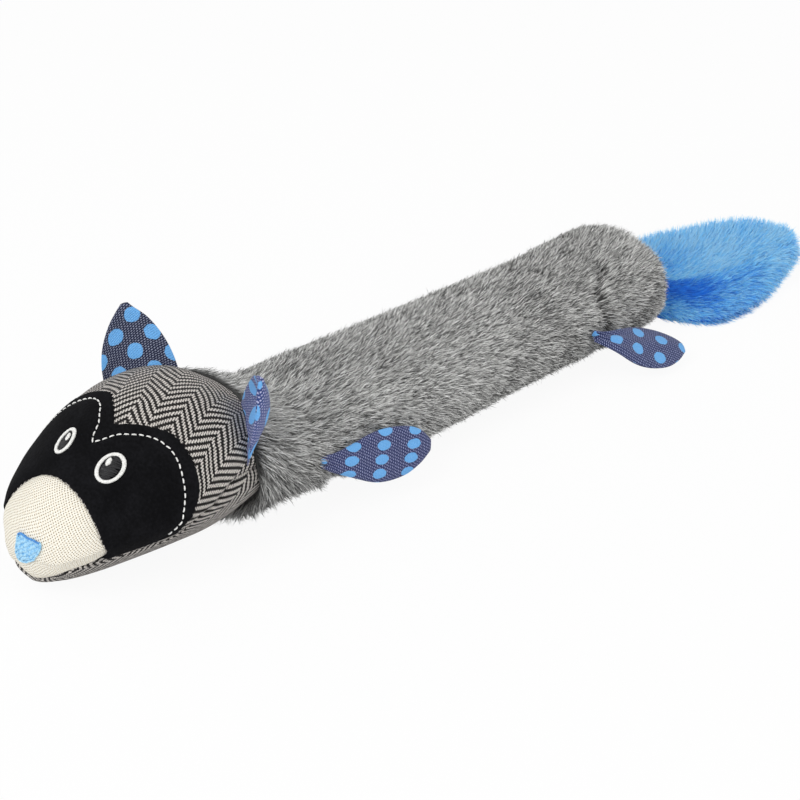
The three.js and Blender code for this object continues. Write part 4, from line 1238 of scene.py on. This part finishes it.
# The split lies level with the pivot all round, and the whole front rim, which leans, stays with the head
rimY = headPoint(1, turns(fur["columns"]))[..., 1]
neckShare = (pivotY["neck"] - rimY) / (frontStartY - rimY)
bent(neckSection("neckFurFront", 0, neckShare, 41), "neck_sleeve")
bent(neckSection("neckFurRear", neckShare, 1, 43), "neck_sleeve")
fixed(bodySection("bodyFurFront", frontStartY, waistStartY, 45), "torso_front", ["plush_tube_front"],
      None)
bent(bodySection("waistFurFront", waistStartY, pivotY["waist"], 47),
     "plush_tube_middle")
bent(bodySection("waistFurRear", pivotY["waist"], waistEndY, 49),
     "plush_tube_middle")
fixed(bodySection("bodyFurRear", waistEndY, bodyRearY - 2, 51, True), "torso_rear",
      ["plush_tube_rear"], None)
print("fur ready")

# The blue plush tail: a cupped leaf, its pile lying outward from the valley
tail = {"pile": {"Density": 5.5e6, "Length": 0.0056, "Width": 0.0003, "Scatter": 0.28, "Clump Size": 0.003,
                 "Clump": 0.3, "Tone Spread": 0.34},
        "plush": 3.2, "inset": 1.2, "lift": 0.42, "reach": 0.92, "end": 0.975, "rootOuter": 5.6, "rootInner": 4.6,
        "tone": 0.84, "patches": ((0.1, 26, 51), (0.1, 9, 53)), "valleyPaintedShade": 0.95, "lobePaintedShade": 0.3,
        "spotShade": 0.3, "lowerTone": 0.1, "valleyLength": 0.25, "lowerDensity": 0.6}
tailRows = [
    (0, 0.22, -0.12, 0.08, 0.42, 0.7), (0.2, 0.345, -0.17, 0.05, 0.28, 0.88), (0.4, 0.33, -0.17, 0.03, 0.2, 0.88),
    (0.6, 0.25, -0.15, 0.07, 0.24, 0.9), (0.8, 0.14, -0.1, 0.19, 0.34, 0.84), (1, 0.02, -0.02, 0.42, 0.48, 0.6)]
tailStartY = pivotY["tail"] + 7.3
tailTipY = bodyRearY + toy["tailLength"] + 6


def tailPoint(along, across, lift):
    near, far, nearRise, valley, farRise = np.moveaxis(curveAt(tailRows, along), -1, 0)
    edge = np.where(across < 0, -near * across, far * across)
    rise = np.where(across < 0, valley + (nearRise - valley) * across ** 2,
                    valley + (farRise - valley) * np.abs(across) ** 1.5)
    x = toy["rearSideStep"] + toy["tailSideStep"] * along + edge * toy["tailLength"]
    y = tailStartY + (tailTipY - tailStartY) * along - edge * toy["tailSideStep"] * np.minimum(1, 3 * along)
    z = np.maximum(rise * toy["tailRise"] + lift, np.where(lift < 0, 0, tail["plush"] + lift))
    return np.stack([x, y, z], -1)


def tailSide(name, node, upper, seed):
    rows, columns, facing = 57, 57, 1 if upper else -1
    along = shares(rows) * tail["end"]
    across = np.linspace(-tail["reach"], tail["reach"], columns)[None] + 0 * along
    height = (tail["plush"] - tail["inset"]) * (0.25 + 0.75 * (1 - np.abs(across) ** 6))
    outer = tailPoint(along, across, 0.3 + height if upper else -height)
    inner = tailPoint(along, across, 0 * across + (0.15 if upper else 0.0))
    if not upper:
        for grid, lowest in ((outer, 0.8), (inner, 1.5)):
            grid[..., 2] = np.maximum(grid[..., 2], lowest)
    forward, sideways, out = waysOf(outer)
    out = np.where(out[..., 2:] * facing < 0, -out, out)
    spread = across * 1.1 * smoothly(-0.1, 0.35, along)
    lie = unit(forward * (1 - 0.5 * np.abs(across))[..., None] + sideways * spread[..., None])
    comb = unit(lie + out * (tail["lift"] * (1 - 0.7 * smoothly(0.85, 1.0, np.abs(across))))[..., None])
    valley = bell(across, -0.2, np.where(across < -0.2, 0.4, 0.24)) * smoothly(0.8, 0.12, along)
    nearLobe = smoothly(0.0, -0.45, across) * smoothly(1.0, 0.5, along)
    spot = tail["spotShade"] * bell(across, 0.5, 0.28) * bell(along, 0.27, 0.13)
    # The valley and the low near lobe are painted darker as shade
    tone = patchy(tail["tone"], outer, tail["patches"]) - tail["valleyPaintedShade"] * valley - tail["lobePaintedShade"] * nearLobe
    tone = tone - spot if upper else tone + tail["lowerTone"]
    piece = pileShell(name, (outer, inner), out, comb, tone, 1 - tail["valleyLength"] * valley, tail["pile"],
                      bluePile, seed, 1 if upper else tail["lowerDensity"], False)
    fixed(piece, "tail", [node], None)


# The gathered root between the body's rear opening and the leaf
def makeTailRoot():
    polar, turn = np.linspace(0.02, math.pi - 0.02, 14)[:, None], turns(41)
    direction = np.stack([np.sin(polar) * np.sin(turn), -np.cos(polar) + 0 * turn, np.sin(polar) * np.cos(turn)], -1)
    centre = np.array([toy["rearSideStep"], pivotY["tail"], toy["bodyHeight"] * 0.4])
    grids = [centre + direction * tail[radius] for radius in ("rootOuter", "rootInner")]
    comb = unit(direction * 0.4 + np.array([0.1, 1.0, 0]))
    tone = 0.3 + 0 * polar + 0 * turn
    piece = pileShell("tailRootPlush", grids, direction, comb, tone, 0.8, tail["pile"], bluePile, 61)
    fixed(piece, "tail_base", ["tail_root"], None)


tailSide("tailUpperPlush", "tail_upper_panel", True, 55)
tailSide("tailLowerPlush", "tail_lower_panel", False, 57)
makeTailRoot()
print("tail ready")

# The inner pieces keep their CAD shapes
for node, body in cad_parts.items():
    finish = fibre if "filling" in node else vinyl if "bulb" in node else hardPlastic if "reed" in node else None
    if finish is not None:
        for index in range(max(len(body.material_slots), 1)):
            if not body.material_slots:
                body.data.materials.append(finish)
            body.material_slots[index].material = finish

for spare in (strand, thread):
    bpy.data.objects.remove(spare)

# Floor, light and camera
studio = {"azimuth": 47.5, "elevation": 28.4, "distance": 0.804, "aim": (0.0096, -0.03413, 0.014), "lens": 84.1,
          "sensor": 36, "world": 0.62, "floorWhite": 0.93, "floorSize": 4.0}
scene = bpy.context.scene
scene.view_settings.view_transform = "Standard"


# One where the camera looks, straight or by a reflection, and nothing where only light reaches
def seenShare(made):
    rays = made.node("ShaderNodeLightPath")
    return (rays.out("Is Camera Ray") + rays.out("Is Glossy Ray") + rays.out("Is Transmission Ray")).maths(
        "MINIMUM", 1.0)


def makeFloor():
    size = studio["floorSize"]
    mesh = bpy.data.meshes.new("floor")
    mesh.from_pydata([(-size, -size, 0), (size, -size, 0), (size, size, 0), (-size, size, 0)], [], [(0, 1, 2, 3)])
    floor = linked("floor", mesh)
    white = studio["floorWhite"]
    made = Finish("paleFloor", {"Base Color": (white, white, white, 1), "Roughness": 0.9, "Specular IOR Level": 0.1})
    glow = made.node("ShaderNodeEmission", {}, {"Color": (1, 1, 1, 1), "Strength": 1.0})
    blend = made.node("ShaderNodeMixShader", {}, {
        0: seenShare(made) * white, 1: Reading(made, made.shader.outputs[0]), 2: glow.out()})
    made.tree.links.new(blend.out().socket, made.tree.nodes["Material Output"].inputs[0])
    mesh.materials.append(made.material)


def makeLights():
    world = scene.world or bpy.data.worlds.new("studio")
    scene.world = world
    world.use_nodes = True
    made = Maker(world.node_tree)
    backdrop = world.node_tree.nodes["Background"]
    backdrop.inputs["Color"].default_value = (1, 1, 1, 1)
    level = seenShare(made) * (1 - studio["world"]) + studio["world"]
    world.node_tree.links.new(level.socket, backdrop.inputs["Strength"])
    lamps = {"key": ((0.25, -1.35, 1.25), 1.1, 13.0), "fill": ((1.5, 0.4, 0.9), 1.2, 4.5)}
    for name, (spot, size, power) in lamps.items():
        light = bpy.data.lights.new(name, "AREA")
        light.shape, light.size, light.energy = "DISK", size, power
        lamp = linked(name, light)
        lamp.location = spot
        lamp.rotation_euler = (Vector((0, -0.05, 0)) - Vector(spot)).to_track_quat("-Z", "Y").to_euler()


def makeCamera():
    azimuth, elevation = math.radians(studio["azimuth"]), math.radians(studio["elevation"])
    back = Vector((math.sin(azimuth) * math.cos(elevation), -math.cos(azimuth) * math.cos(elevation),
                   math.sin(elevation)))
    right = Vector((math.cos(azimuth), math.sin(azimuth), 0))
    up = back.cross(right)
    camera = linked("camera", bpy.data.cameras.new("camera"))
    camera.data.lens, camera.data.sensor_width = studio["lens"], studio["sensor"]
    place = Vector(studio["aim"]) + back * studio["distance"]
    camera.matrix_world = Matrix.Translation(place) @ Matrix((right, up, back)).transposed().to_4x4()
    scene.camera = camera


makeFloor()
makeLights()
makeCamera()
print("studio ready")
